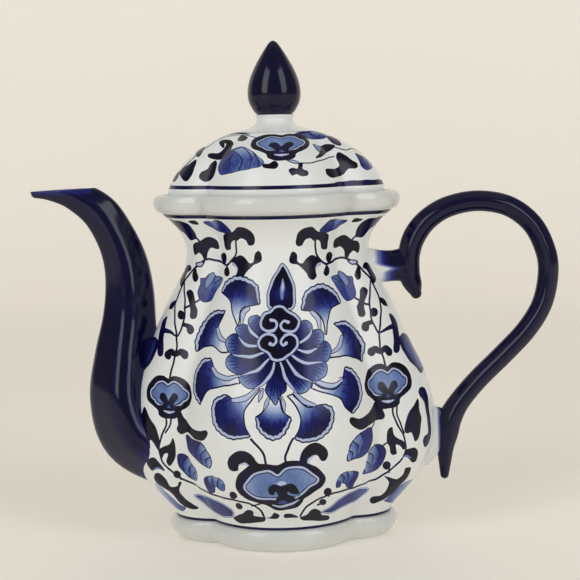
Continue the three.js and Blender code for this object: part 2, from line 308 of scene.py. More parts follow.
class Painting:
    """Outlines in order, the later ones over the earlier ones."""

    def __init__(self):
        self.shapes = []
        self.flip = 1
        self.shift = (0.0, 0.0)

    def fill(self, outline, density):
        place = np.array([self.flip, 1.0])
        shift = np.array(self.shift)
        points = np.asarray(outline, float) * place + shift
        wobble = np.stack(
            [np.sin(points[:, 1] * 0.9 + 1.3), np.sin(points[:, 0] * 0.8 + points[:, 1] * 0.3)], 1
        )
        points = points + 0.12 * wobble
        if callable(density):
            self.shapes.append((points, lambda p: density((p - shift) * place)))
        else:
            self.shapes.append((points, density))

    def blob(self, points, density):
        self.fill(spline(points, 5, closed=True), density)

    def stroke(self, points, halves, density=BLACK, steps=7):
        """A brush stroke along a curve, with round ends. Halves are half-widths spread along it."""
        line = spline(points, steps) if len(points) > 2 else np.linspace(points[0], points[1], 9)
        where = np.linspace(0, 1, len(line))
        half = np.interp(where, np.linspace(0, 1, len(halves)), halves)
        ahead = np.gradient(line, axis=0)
        ahead = ahead / np.maximum(np.linalg.norm(ahead, axis=1, keepdims=True), 1e-9)
        side = np.stack([-ahead[:, 1], ahead[:, 0]], 1)
        turns = np.radians([60, 30, 0, -30, -60])[:, None]
        last = line[-1] + half[-1] * (side[-1] * np.sin(turns) + ahead[-1] * np.cos(turns))
        first = line[0] + half[0] * (-side[0] * np.sin(turns) - ahead[0] * np.cos(turns))
        left = line + side * half[:, None]
        right = line - side * half[:, None]
        self.fill(np.concatenate([left, last, right[::-1], first]), density)

    def line(self, points, half=0.3, density=NAVY):
        self.stroke(points, [half, half], density)

    def dot(self, x, y, radius, density=BLACK):
        turns = np.linspace(0, 2 * math.pi, 14, endpoint=False)
        ring = np.stack([x + radius * np.cos(turns), y + radius * np.sin(turns)], 1)
        self.fill(ring, density)

    def lobed_leaf(self, outline, arcs, tone=0.0):
        """A leaf with scallops: deep at its stem, then light lobes between arcs out to the tip."""
        edge = spline(outline, 5, closed=True)
        curves = [spline(arc, 5) for arc in arcs]
        self.fill(edge, NAVY)
        self.fill(inset(edge, 0.34), fade(curves[0][0], curves[-1][0], DEEP + tone, MID + tone))
        for near, far in zip(curves, curves[1:]):
            lobe = np.concatenate([near, far[::-1]])
            middle = lobe.mean(0)
            start, end = near[len(near) // 2], far[0]
            lobe = middle + (lobe - middle) * 0.9
            self.fill(lobe, fade(start, end, DEEP - 0.06 + tone, LIGHT - 0.12, 0.7))
        for curve in curves[:-1]:
            self.stroke(curve, [0.28, 0.32, 0.2], NAVY)

    def wash_leaf(self, outline, start, end):
        """A spear-shaped leaf in a pale outline, filled with a greyish wash."""
        edge = spline(outline, 5, closed=True)
        self.fill(edge, MID)
        self.fill(inset(edge, 0.3), PALE)
        self.fill(inset(edge, 0.75), fade(start, end, MID + 0.06, DEEP))

    def petal(self, root_side, crown, other_side, band=()):
        """A fan-shaped petal: two sides from the stem, and a scalloped crown with a pale margin."""
        left = spline(root_side + crown[:1], 5)[:-1]
        top = spline(crown, 7)
        right = spline(crown[-1:] + other_side, 5)[1:]
        outline = np.concatenate([left, top, right])
        lengths = np.concatenate([[0], np.cumsum(np.linalg.norm(np.diff(top, axis=0), axis=1))])
        scallops = np.round(lengths[-1] / 3.2)
        bump = np.abs(np.sin(math.pi * scallops * lengths / lengths[-1]))
        wave = np.concatenate([0 * left[:, 0], 0.45 * (bump - 0.5), 0 * right[:, 0]])
        outline = inset(outline, -wave)
        rim = np.sin(math.pi * np.linspace(0, 1, len(top))) ** 0.35
        margin = np.concatenate([0 * left[:, 0], 1.25 * rim, 0 * right[:, 0]])
        root = (np.asarray(root_side[0]) + np.asarray(other_side[-1])) / 2
        middle = np.asarray(crown[len(crown) // 2])
        self.fill(outline, NAVY)
        self.fill(inset(outline, 0.68), PALE)
        reach = np.linalg.norm(middle - root)
        self.fill(inset(outline, 0.68 + margin), petal_wash(root, reach))
        for share in (0.3, 0.5, 0.7):
            end = spline(crown, 7)[int(share * 7 * (len(crown) - 1))]
            start = root + (end - root) * 0.55
            self.stroke([start, root + (end - root) * 0.86], [0.1, 0.35, 0.12], NAVY - 0.1)
        if band:
            self.stroke(band, [1.05, 1.35, 0.7], NAVY)
            self.stroke(band, [0.65, 0.95, 0.35], PALE)

    def heart(self, centre, half_width, half_height, tilt=0.0):
        """A heart-shaped flower: a thick dark band, a pale line, a light fill and two commas."""
        outer_half = [(0, 0.84), (0.22, 0.98), (0.5, 0.93), (0.8, 0.66), (0.99, 0.2), (0.93, -0.2),
                      (0.68, -0.44), (0.48, -0.62), (0.42, -0.84), (0.2, -0.98), (0, -1)]
        inner_half = [(0, 0.47), (0.24, 0.62), (0.44, 0.52), (0.56, 0.35), (0.71, 0.2), (0.68, 0.02),
                      (0.55, -0.08), (0.44, -0.24), (0.22, -0.34), (0, -0.36)]
        c, s = math.cos(tilt), math.sin(tilt)

        def place(points):
            p = np.asarray(points, float) * [half_width, half_height]
            turned = np.stack([p[:, 0] * c - p[:, 1] * s, p[:, 0] * s + p[:, 1] * c], 1)
            return turned + np.asarray(centre, float)

        def whole(half):
            return place(half + [(-x, y) for x, y in half[-2:0:-1]])

        inner = spline(whole(inner_half), 5, closed=True)
        self.fill(spline(whole(outer_half), 5, closed=True), BLACK)
        self.fill(inset(inner, -1.25), PALE)
        self.fill(inset(inner, -0.55), NAVY)
        self.fill(inner, around(centre, half_width, 0.34, 0.42))
        size = half_height
        for way in (-1, 1):
            comma = place([(0.03 * way, -0.62), (way * 0.1, -0.25), (way * 0.24, 0.0)])
            self.stroke(comma, [0.12 * size, 0.16 * size, 0.2 * size], BLACK)
            foot = place([(way * 0.4, -0.5), (way * 0.16, -0.52), (0, -0.5)])
            self.stroke(foot, [0.12 * size, 0.12 * size, 0.1 * size], BLACK)
        self.fill(place([(-0.1, -0.5), (0, -0.34), (0.1, -0.5)]), MID)
        self.stroke(place([(-0.22, -0.64), (0, -0.7), (0.22, -0.63)]),
                    [0.02 * size, 0.07 * size, 0.02 * size], PALE)


# ---- The decoration -------------------------------------------------------------------------------
#
# The outlines in the paint_ functions and painted_lid are places read off a photograph of a real pot,
# turned into millimetres by a separate program, and adjusted. They follow that pot's painting, and
# aren't a design worked out here.

def paint_flower(p):
    """The main flower: nine fan petals, eleven inner petals, a bud and a cloud-shaped heart."""
    p.petal([(-19, 101.6), (-21.6, 106.5), (-23.4, 112.2)],
            [(-28.9, 115.6), (-27, 119.6), (-23.1, 122.2), (-17.4, 123.4), (-12.4, 121.8), (-8.6, 118.5),
             (-8, 111)],
            [(-13.1, 110.2), (-16.8, 108.4), (-18, 102.5)],
            [(-13.6, 109.4), (-16.2, 107), (-16.9, 103)])
    p.petal([(20.7, 97.3), (20.2, 102.6), (16.4, 106.9)],
            [(9.8, 108.2), (11, 114.5), (15.2, 118.1), (20.5, 119), (26.3, 117), (30.4, 113.3),
             (31.9, 109.4)],
            [(26.2, 108.2), (23.6, 104.4), (22, 97)],
            [(15, 107.2), (18, 103.8), (18.6, 99.6)])
    p.petal([(23.5, 89.7), (29, 92.3), (30.8, 95.8), (29, 98.6)],
            [(25.6, 101.5), (32.5, 102.3), (39.7, 98.7), (43.8, 94.2), (45.6, 89), (43.2, 83)],
            [(37.9, 85.6), (31.5, 87.1), (22.1, 87)],
            [(30.4, 95.4), (28.4, 91.8), (24.2, 89.5)])
    p.petal([(14.2, 78.6), (18.8, 75.6), (24.3, 74.7), (28.4, 77)],
            [(30.6, 83.2), (35.8, 81.4), (39.6, 77.1), (41, 71.8), (39.3, 66.4), (33.7, 62.3)],
            [(30.1, 65.6), (27, 70.1), (20.5, 72.6), (13.3, 75.3)],
            [(16.3, 78.2), (20.6, 76.2), (25, 76), (29, 77.6)])
    p.petal([(5.3, 73.9), (9, 70.1), (12.8, 68)],
            [(19, 69), (23.5, 66.6), (24, 61), (21.2, 56.2), (15.2, 52.9), (8.6, 52.9), (5.2, 54.9)],
            [(8.1, 60.2), (7.3, 66.5), (2.6, 73)],
            [(6.6, 73.9), (10.1, 70.4), (15.1, 68.2)])
    p.petal([(-5, 73.1), (-6.4, 69.4), (-8.1, 66.3)],
            [(-11.3, 64.5), (-10.3, 59), (-7, 55.4), (-3.2, 53.9), (0.6, 55.7), (3.8, 60), (4.6, 64)],
            [(1.6, 66.1), (0.3, 69.4), (-0.1, 72.5)])
    p.petal([(-10.9, 75.7), (-14.3, 72.7), (-18.4, 70.8)],
            [(-24.4, 73.3), (-30.8, 71), (-32.8, 65.6), (-31.6, 59.6), (-27.3, 55.4), (-20.5, 53.9),
             (-13.2, 55.6)],
            [(-15.5, 60.4), (-15.9, 65.1), (-13.3, 69.9), (-7, 76.7)],
            [(-21.5, 70.9), (-15.8, 71.8), (-9.6, 76.4)])
    p.petal([(-18.2, 81.4), (-23.8, 79.5), (-29.5, 80.8)],
            [(-33.3, 87.9), (-40.1, 86.3), (-44.7, 81.1), (-45.8, 75.8), (-44.3, 70.6), (-39.6, 66.9)],
            [(-36.6, 72), (-31.8, 74.8), (-17.7, 77.8)],
            [(-32.4, 83.4), (-28.9, 80.6), (-23.8, 79.9), (-18.8, 81)])
    p.petal([(-24.2, 94.8), (-28.8, 96.8), (-29.5, 100.3)],
            [(-25, 108.4), (-32.8, 107.6), (-39.2, 103.9), (-43, 98.7), (-45.2, 93), (-44.8, 88.9)],
            [(-37.8, 91.8), (-32.5, 92.2), (-27.9, 90.2), (-23.5, 90.2)],
            [(-30, 100), (-28.5, 96.8), (-24.8, 94.9)])
    for band in ([(-5, 72.6), (-7.2, 67.3)], [(0.5, 73), (1.8, 66.2)], [(-7.3, 75.7), (-9.6, 70.5)]):
        p.stroke(band, [0.5, 1.1, 0.4], NAVY)
        p.stroke(band, [0.2, 0.7, 0.1], PALE)
    heart_of_flower = (0, 95)
    inner = [
        [(-7.4, 98), (-11.6, 100.5), (-13.8, 104.1), (-11.8, 106.4), (-8.4, 106)],
        [(-9.4, 95.3), (-14.5, 94.2), (-19, 98.2), (-19.6, 101.3), (-15.6, 102.9), (-12.7, 101), (-8, 98)],
        [(-8.4, 92.7), (-15.8, 90), (-22.5, 90.2), (-25.2, 93.7), (-23.8, 97.2), (-19.9, 98.6),
         (-15.7, 95.2), (-8, 94.5)],
        [(-6.2, 90.7), (-10.2, 84.9), (-15.9, 81.7), (-21.3, 82.3), (-25, 85.4), (-22.8, 89.7),
         (-15.8, 89.4), (-8, 92)],
        [(-2, 89), (-4.7, 82.9), (-8.1, 77.8), (-12, 75.9), (-16, 77.1), (-18.3, 80.3), (-13, 82.8),
         (-5, 89.5)],
        [(8.2, 100.7), (9.4, 103.3), (12.2, 104.1), (14.8, 102.2), (14.7, 99.3), (12, 96.3), (7, 96)],
        [(8, 94.8), (13.2, 97.3), (15, 99.8), (18.9, 99.5), (20.4, 96.8), (19, 93.8), (8, 92)],
        [(7.9, 92.4), (11.8, 91.1), (17.1, 92.3), (20.6, 94.7), (23.7, 92.1), (23.1, 87.4), (18.6, 86),
         (7, 90)],
        [(4, 90.5), (8.9, 87.1), (15.1, 85.6), (20.2, 86.4), (21.5, 82.7), (19.6, 79.5), (13.1, 79),
         (5, 87)],
        [(0, 89.5), (2.9, 88.2), (6.1, 83.2), (9.8, 79.9), (13.7, 78.1), (12.4, 74.9), (9.4, 73.7),
         (6.4, 74.7), (1.8, 80)],
        [(-2.5, 89.5), (0.2, 89.5), (1.9, 82.3), (2.6, 75.6), (-0.1, 73.1), (-2.1, 69.2), (-4.4, 72.1),
         (-6.5, 75.7), (-5, 79.8), (-3.3, 84.9)],
    ]
    p.blob([(-0.5, 104), (13, 98), (18, 91), (15, 82), (0, 80), (-14, 84), (-17, 92), (-12, 100)], DEEP)
    for petal in inner:
        outline = spline(petal, 5, closed=True)
        middle = outline.mean(0)
        tip = outline[np.argmax(np.linalg.norm(outline - heart_of_flower, axis=1))]
        p.fill(inset(outline, -0.2), NAVY)
        p.fill(inset(outline, 0.25), fade(heart_of_flower, tip, 1.0, 0.26, 2.2))
        out = (tip - np.asarray(heart_of_flower)) / np.linalg.norm(tip - np.asarray(heart_of_flower))
        across = np.array([-out[1], out[0]])
        for way in (-0.6, -0.2, 0.2, 0.6):
            end = tip - out * (1.2 + 1.4 * abs(way)) + across * way * 4.2
            start = middle + across * way * 2.2
            p.stroke([start, end], [0.1, 0.22, 0.08], NAVY)
    gaps = [
        [(-8.4, 96.6), (-12.2, 99.5), (-13.8, 102.8)],
        [(-8.4, 93.6), (-14.6, 94.2), (-18.4, 97.2)],
        [(-6.2, 91.2), (-13.5, 89.2), (-21.6, 89.9)],
        [(-4.4, 88.6), (-9.6, 83.9), (-16.8, 81.5)],
        [(-2, 87.6), (-4.6, 80.8), (-11.5, 75.5)],
        [(0.2, 87.6), (2.7, 79.7), (7.4, 73.6)],
        [(3, 88.4), (7.1, 82.1), (13.7, 78.2)],
        [(5, 90), (10.6, 86.4), (19.6, 86)],
        [(7.6, 92), (12.9, 90.7), (17.1, 92.1)],
        [(8, 94.4), (12.6, 96.7), (14.8, 100.2)],
    ]
    for gap in gaps:
        p.stroke(gap, [0.5, 1.05, 0.3], NAVY)
        p.stroke(gap, [0.3, 0.72, 0.1], PALE)
    paint_bud(p)
    paint_clouds(p)


def paint_bud(p):
    outline = spline([(-4.1, 109.4), (-5.1, 114.7), (-3.6, 120.2), (-0.8, 125.2), (2.3, 128.8),
                      (5.5, 124.4), (7.4, 119.4), (7.8, 114.3), (6, 108.6)], 6, closed=True)
    p.fill(outline, NAVY)
    p.fill(inset(outline, 0.4), PALE)
    p.fill(inset(outline, 1.25), around((1.6, 115.6), 6.5, 0.56, 1.0, 0.9))
    p.stroke([(1.6, 113.6), (1.9, 118), (2.2, 122)], [0.5, 1.15, 0.2], LIGHT)
    p.stroke([(1.8, 116.8), (2.1, 120.8)], [0.3, 0.6, 0.1], PALE)


def paint_clouds(p):
    upper = spline([(-4.1, 99.3), (-7.6, 101), (-8.4, 104.2), (-6.4, 107.4), (-3.7, 108.7), (-1.6, 110.4),
                    (1.9, 110.6), (4.6, 108.5), (7.3, 106.8), (9.4, 103.8), (8.2, 100.5), (4.6, 98.9)],
                   6, closed=True)
    lower = spline([(4.5, 99), (7.9, 97.2), (8.5, 93.6), (5.9, 90.6), (3.6, 89.2), (1.7, 87.7),
                    (-0.9, 87.2), (-3.6, 88.2), (-5.3, 90.6), (-8.5, 92.3), (-9.5, 95.3), (-7.9, 98.3),
                    (-4.4, 99.4)], 6, closed=True)
    for cloud in (upper, lower):
        p.fill(inset(cloud, -0.45), NAVY)
    for cloud in (upper, lower):
        p.fill(cloud, PALE)
    for cloud in (upper, lower):
        p.fill(inset(cloud, 1.0), 1.0)
    scrolls = [
        [(-5.2, 99.9), (-2, 100.6), (-0.8, 102.6), (-1.7, 104.4), (-3.5, 104.7)],
        [(5.4, 99.6), (2.1, 100.2), (0.9, 102.3), (2.1, 104), (4.1, 103.6)],
        [(-5.2, 98.8), (-2.4, 98), (-1.2, 95.8), (-2.4, 94.1), (-3.9, 94.7)],
        [(5.4, 98.7), (2.1, 97.7), (0.8, 95.6), (1.8, 94.1), (3.1, 94.9)],
    ]
    for scroll in scrolls:
        p.stroke(scroll, [0.45, 0.5, 0.5, 0.5, 0.75], PALE)
    p.fill([(0, 100.8), (2.3, 99.5), (3.9, 99), (2, 98.5), (0, 97.3), (-2, 98.6), (-4, 99.2), (-2.3, 99.6)],
           1.0)


def paint_side(p):
    """The scroll on one side from the neck down to the side heart, drawn on the handle's side."""
    p.line([(18, 137.9), (18.2, 132.5), (20.7, 129.2), (24, 127), (27.2, 127.5), (32.1, 128.7), (36.1, 129),
            (42.1, 125.5), (46.7, 121.8), (50.1, 118.2), (53.8, 110.6), (54.4, 107), (53.9, 101.2),
            (53, 95.3), (53, 89.4), (54.6, 84), (57, 76)], 0.52)
    p.line([(49.6, 118.4), (48.3, 111.4), (48.4, 105.5), (49.3, 100.7), (51.4, 96.6), (53, 94.6)], 0.48)
    p.blob([(8.3, 138), (9.2, 141.6), (12.6, 143.9), (16.2, 144.4), (19.2, 142), (22.5, 141.7), (25.8, 140),
            (25.7, 136.9), (24.8, 133.7), (21.5, 133.9), (20.8, 136.9), (19, 138.2), (17.2, 137.9),
            (15.2, 139.2), (12.8, 138.4), (11.3, 136.2), (9.1, 136.1)], BLACK)
    p.blob([(30.1, 133.9), (30.5, 136.8), (33.3, 138.7), (36.4, 139.2), (39.7, 137.1), (43.1, 136.1),
            (44, 133.5), (42.9, 130.8), (40.5, 131.9), (38.5, 130.6), (37.4, 128.7), (36.2, 128.9),
            (35.7, 132.2), (34, 134.3), (31.8, 133.6)], BLACK)
    p.lobed_leaf([(20.1, 142.1), (22.5, 144.7), (26, 147), (30.2, 147.2), (33.3, 146.5), (38.2, 146.3),
                  (36.3, 144.6), (32.4, 143), (26.9, 141.5), (23.6, 141.2)],
                 [[(29, 147.4), (28, 144.6), (26.6, 142)], [(33.6, 146.6), (31.6, 144.6), (30.4, 142.6)]])
    p.blob([(40.1, 145.1), (42, 146.8), (45.3, 146.3), (42.9, 145)], BLACK)
    p.blob([(41.3, 138.5), (42, 141.2), (44.8, 144.7), (48.2, 146.2), (53.9, 146.7), (59.5, 147),
            (58.5, 143.8), (50.3, 140.9), (45.8, 137.7), (42.9, 137.9)], NAVY)
    p.line([(39.9, 137.3), (42.3, 139.4)], 0.45)
    p.blob([(5.3, 129.4), (5.7, 132.4), (7, 133.5), (8.7, 132.1), (9.1, 129.1), (11.1, 128.2),
            (13.4, 130.4), (16.2, 131.5), (19.6, 130.2), (21.3, 128.9), (20.8, 127.4), (18.3, 125.7),
            (17.8, 124.2), (18.3, 122.2), (16.4, 120.9), (14.3, 121.7), (13.2, 123.7), (11, 125.8),
            (8.9, 127.6), (6.7, 128.2)], BLACK)
    p.stroke([(17.8, 125.4), (19.2, 127.2), (21.2, 128)], [0.4, 0.55, 0.2], PALE)
    p.blob([(26.9, 132.4), (29.2, 130.9), (28, 128.6), (25.8, 127), (24.3, 129.3), (25, 131.6)], BLACK)
    p.blob([(24, 126.6), (26.1, 124.7), (25.7, 122.6), (23.6, 122), (22.2, 123.5)], BLACK)
    p.blob([(37.1, 128), (41.9, 127.6), (42.4, 126), (39.2, 125.6)], NAVY)
    p.blob([(38.2, 127.5), (41.3, 127.2), (41.6, 126.3), (39.4, 126.2)], PALE)
    p.blob([(42.5, 124.9), (44.2, 122.8), (43.7, 119.6), (42, 118.9), (40.7, 120.8), (41.4, 122.9)], BLACK)
    p.blob([(45.4, 124.3), (46.8, 126.2), (50.5, 125.4), (53, 122.6), (54.7, 119.3), (52.6, 116.8),
            (50.4, 116.7), (49.7, 119.6), (48.1, 122.7)], BLACK)
    p.blob([(45.2, 115.6), (47.4, 114.3), (46.8, 111.9), (45.8, 109.2), (45.4, 106.5), (45.9, 104.1),
            (44.7, 102.7), (42.5, 103.3), (41.7, 107.1), (42.5, 108.8), (43.1, 111.8), (43.5, 114.5)], BLACK)
    p.line([(41, 111.1), (43.2, 110)], 0.45)
    p.line([(45.2, 108.6), (48.4, 107.5)], 0.5)
    p.dot(50.4, 104.3, 2.1)
    p.blob([(54.4, 110.4), (58.1, 109.2), (59.4, 106.3), (56.3, 106.8), (54.6, 108.8)], BLACK)
    p.blob([(49.4, 100.9), (46.9, 100.9), (44.3, 99.9), (43.8, 97.5), (45.6, 96.1), (47.3, 96.9),
            (47.8, 98.9), (49.8, 99.3)], BLACK)
    p.blob([(59.7, 103.1), (63.8, 101), (65.2, 96.5), (65, 91), (64.4, 87), (62.4, 85.6), (60.4, 87),
            (60.8, 92.7), (60.4, 98.6)], NAVY)
    p.stroke([(60.9, 97.2), (56.7, 96.6), (53.7, 95.2)], [1.2, 0.8, 0.4], NAVY)
    p.stroke([(48.6, 87.2), (50.6, 88.2), (53.2, 86.9)], [2, 1.6, 1])
    p.stroke([(57.8, 86.6), (56, 88), (53.4, 86.9)], [2, 1.6, 1])
    p.blob([(67.6, 93.3), (73, 92.6), (79, 88.8), (83.4, 82.9), (84.4, 76.9), (81.3, 75.5), (77.6, 75.4),
            (73.8, 78.5), (68.8, 82.8), (65.3, 88.1), (64.4, 91.7)], NAVY)
    p.blob([(69, 92), (73, 91), (78.4, 87.4), (82.4, 81.6), (83, 77.6), (79, 76.8), (75, 80), (70.6, 84.6),
            (68, 89)], fade((68, 92), (82, 77), DEEP, MID))
    p.stroke([(79, 84), (80, 80.6), (82.4, 77.4)], [0.2, 0.3, 0.2], LIGHT)
    p.stroke([(76.6, 85), (77.6, 81), (80, 77.6)], [0.2, 0.3, 0.2], LIGHT)
    paint_tulip(p)


def paint_low_right(p):
    """Below the side heart, on the handle's side."""
    p.line([(58.7, 63), (59.2, 58.7), (61, 54.6), (63.4, 51), (65.1, 47.1), (65.6, 43.3), (64.2, 39),
            (60, 35.5), (55, 32.3), (49.9, 29.8), (42.6, 29), (35.4, 28.6), (26.5, 28), (20, 27),
            (14.1, 24.6), (10, 21.7), (7.7, 17.6)], 0.5)
    p.line([(61, 63), (61.2, 58.5), (63, 54.4), (64.8, 50.3)], 0.45)
    p.blob([(52.2, 66.5), (54.1, 61.4), (55, 59.1), (53.4, 57.4), (48.7, 57.2), (43, 55.6), (37.9, 55.2),
            (34, 57.2), (32.2, 59.7), (33.2, 61.3), (38.1, 60.2), (42.8, 60.9), (47.6, 63.6)], BLACK)
    p.lobed_leaf([(46.1, 55.1), (47.4, 51.8), (46.7, 48.3), (44.5, 45.2), (40.6, 43), (35.3, 42.5),
                  (30.6, 42), (30.1, 44.1), (31.3, 46.5), (31.6, 49), (33.5, 51), (36.2, 52.8), (40.8, 54.6)],
                 [[(38.4, 53.8), (40.5, 49.4), (38, 45.2)], [(33.5, 51), (37, 47.9), (35.3, 43.8)],
                  [(31.3, 46.8), (34, 45.3), (32.4, 42.2)], [(30.6, 43.4), (31, 42.8), (30.8, 42.2)]])
    p.line([(48.8, 57), (46.4, 54.6)], 0.4)
    p.lobed_leaf([(51.2, 46.8), (54.2, 45.2), (55.1, 42.6), (54.3, 39.1), (52, 35.7), (48.2, 33.7),
                  (40.7, 34.1), (40.4, 35.8), (42.3, 37.9), (42.9, 41.2), (43.6, 43.6), (46.2, 46)],
                 [[(48.4, 47), (52.2, 43.2), (51.2, 38.6)], [(43.8, 44.3), (48.1, 41.1), (47.2, 36.6)],
                  [(42.3, 39.9), (46.1, 37.7), (44.6, 34.4)], [(41, 36.4), (42.4, 35.6), (42, 34.4)]])
    p.line([(53.6, 45.4), (56, 46.6)], 0.4)
    p.lobed_leaf([(37.2, 35.9), (37, 33.1), (35.1, 30.7), (33.7, 28.8), (30.6, 29.1), (29.5, 31.1),
                  (27.7, 32), (27, 30.6), (25, 30.2), (24.5, 31.6), (25, 34.2), (26.9, 36.4), (30, 37.4),
                  (33.6, 37.1)],
                 [[(34.2, 37), (33.8, 33.4), (31.3, 30.2)], [(30.3, 37.6), (31.5, 34.7), (29.8, 31.6)],
                  [(27, 36.4), (29, 34.5), (28.4, 32.2)], [(25, 34), (27, 33.3), (27.4, 31.6)]])
    p.blob([(58.6, 53.4), (59.2, 50), (61.5, 47.9), (64.6, 46.3), (65.7, 43.8), (64.2, 42.4), (62.4, 44.5),
            (60.4, 45.4), (60.3, 42.9), (60.5, 41.2), (58.6, 40.5), (57.1, 41.8), (56.9, 44.7),
            (55.6, 47.1), (55.6, 50.3), (56.7, 53)], BLACK)
    p.blob([(65.3, 42), (67.9, 42.8), (70.8, 42.6), (73, 39.8), (72, 36.2), (69.2, 35.7), (67.2, 38),
            (64.8, 39.5)], BLACK)
    p.stroke([(63.8, 38.9), (66.2, 39.2), (68.8, 38)], [0.2, 0.55, 0.2], LIGHT)
    p.blob([(73.4, 64.6), (74.1, 59.4), (75.2, 55.2), (74.4, 50.8), (73.1, 46.9), (71.1, 45.4), (69.7, 48),
            (68.5, 50), (66.3, 49.9), (65, 51.6), (65.9, 55.9), (68, 59.6), (70.5, 62.1)], BLACK)
    p.blob([(76.2, 69.4), (80.5, 67.8), (82, 64), (82, 58.1), (83.2, 52.2), (83.4, 46.9), (80.9, 42.6),
            (77.7, 41.7), (76.1, 44.7), (77.2, 46.9), (80.1, 48.1), (79.9, 52.8), (78.9, 57.5),
            (77.9, 62.2), (74.8, 65.9), (74.2, 68.3)], NAVY)
    p.dot(55.2, 36, 2.1)
    p.line([(56.4, 34.6), (56.6, 32.6)], 0.5)
    p.blob([(81, 23.8), (68.8, 26.2), (61.5, 23.6), (56, 19), (54.6, 17.2), (63.3, 13.8), (72.6, 16.5),
            (77.6, 20.5)], fade((60, 22), (76, 19), MID, 0.1))
    p.blob([(68.8, 33), (68.4, 30.5), (65.8, 26.9), (61.5, 23.4), (57.3, 20), (51.8, 17.4), (48.3, 16.8),
            (47.1, 18.5), (48.2, 20.4), (51.9, 20.8), (55.3, 23.2), (56.7, 26.7), (55.7, 28.8),
            (54.2, 30.9), (57.3, 29.8), (61.1, 28.4), (64.5, 30.8), (65.5, 33.4)], BLACK)
    p.wash_leaf([(46.9, 25.2), (39.7, 27.3), (33.7, 26.8), (27.4, 24.6), (22.5, 21.3), (17.4, 18.2),
                 (20.7, 16.7), (24.8, 17.1), (30.3, 18.9), (37.3, 19.9), (43.5, 21.7)], (46, 25), (18, 18))
    p.dot(20.3, 28.9, 2)
    p.line([(20.6, 27.4), (21, 26.6)], 0.5)
    p.dot(18.1, 23.7, 1.8)
    p.line([(17.4, 22.8), (15.6, 22.6)], 0.5)
    p.blob([(12.4, 20.2), (14.4, 20.7), (17.1, 18.8), (17.8, 16.7), (21.4, 15.4), (20.9, 13.2), (15.4, 13.8),
            (8.9, 14.9), (7.4, 16.8), (10.6, 17.7)], BLACK)
    p.stroke([(1.4, 17.8), (3.8, 17.6), (6.4, 17)], [1.2, 1.1, 0.4])


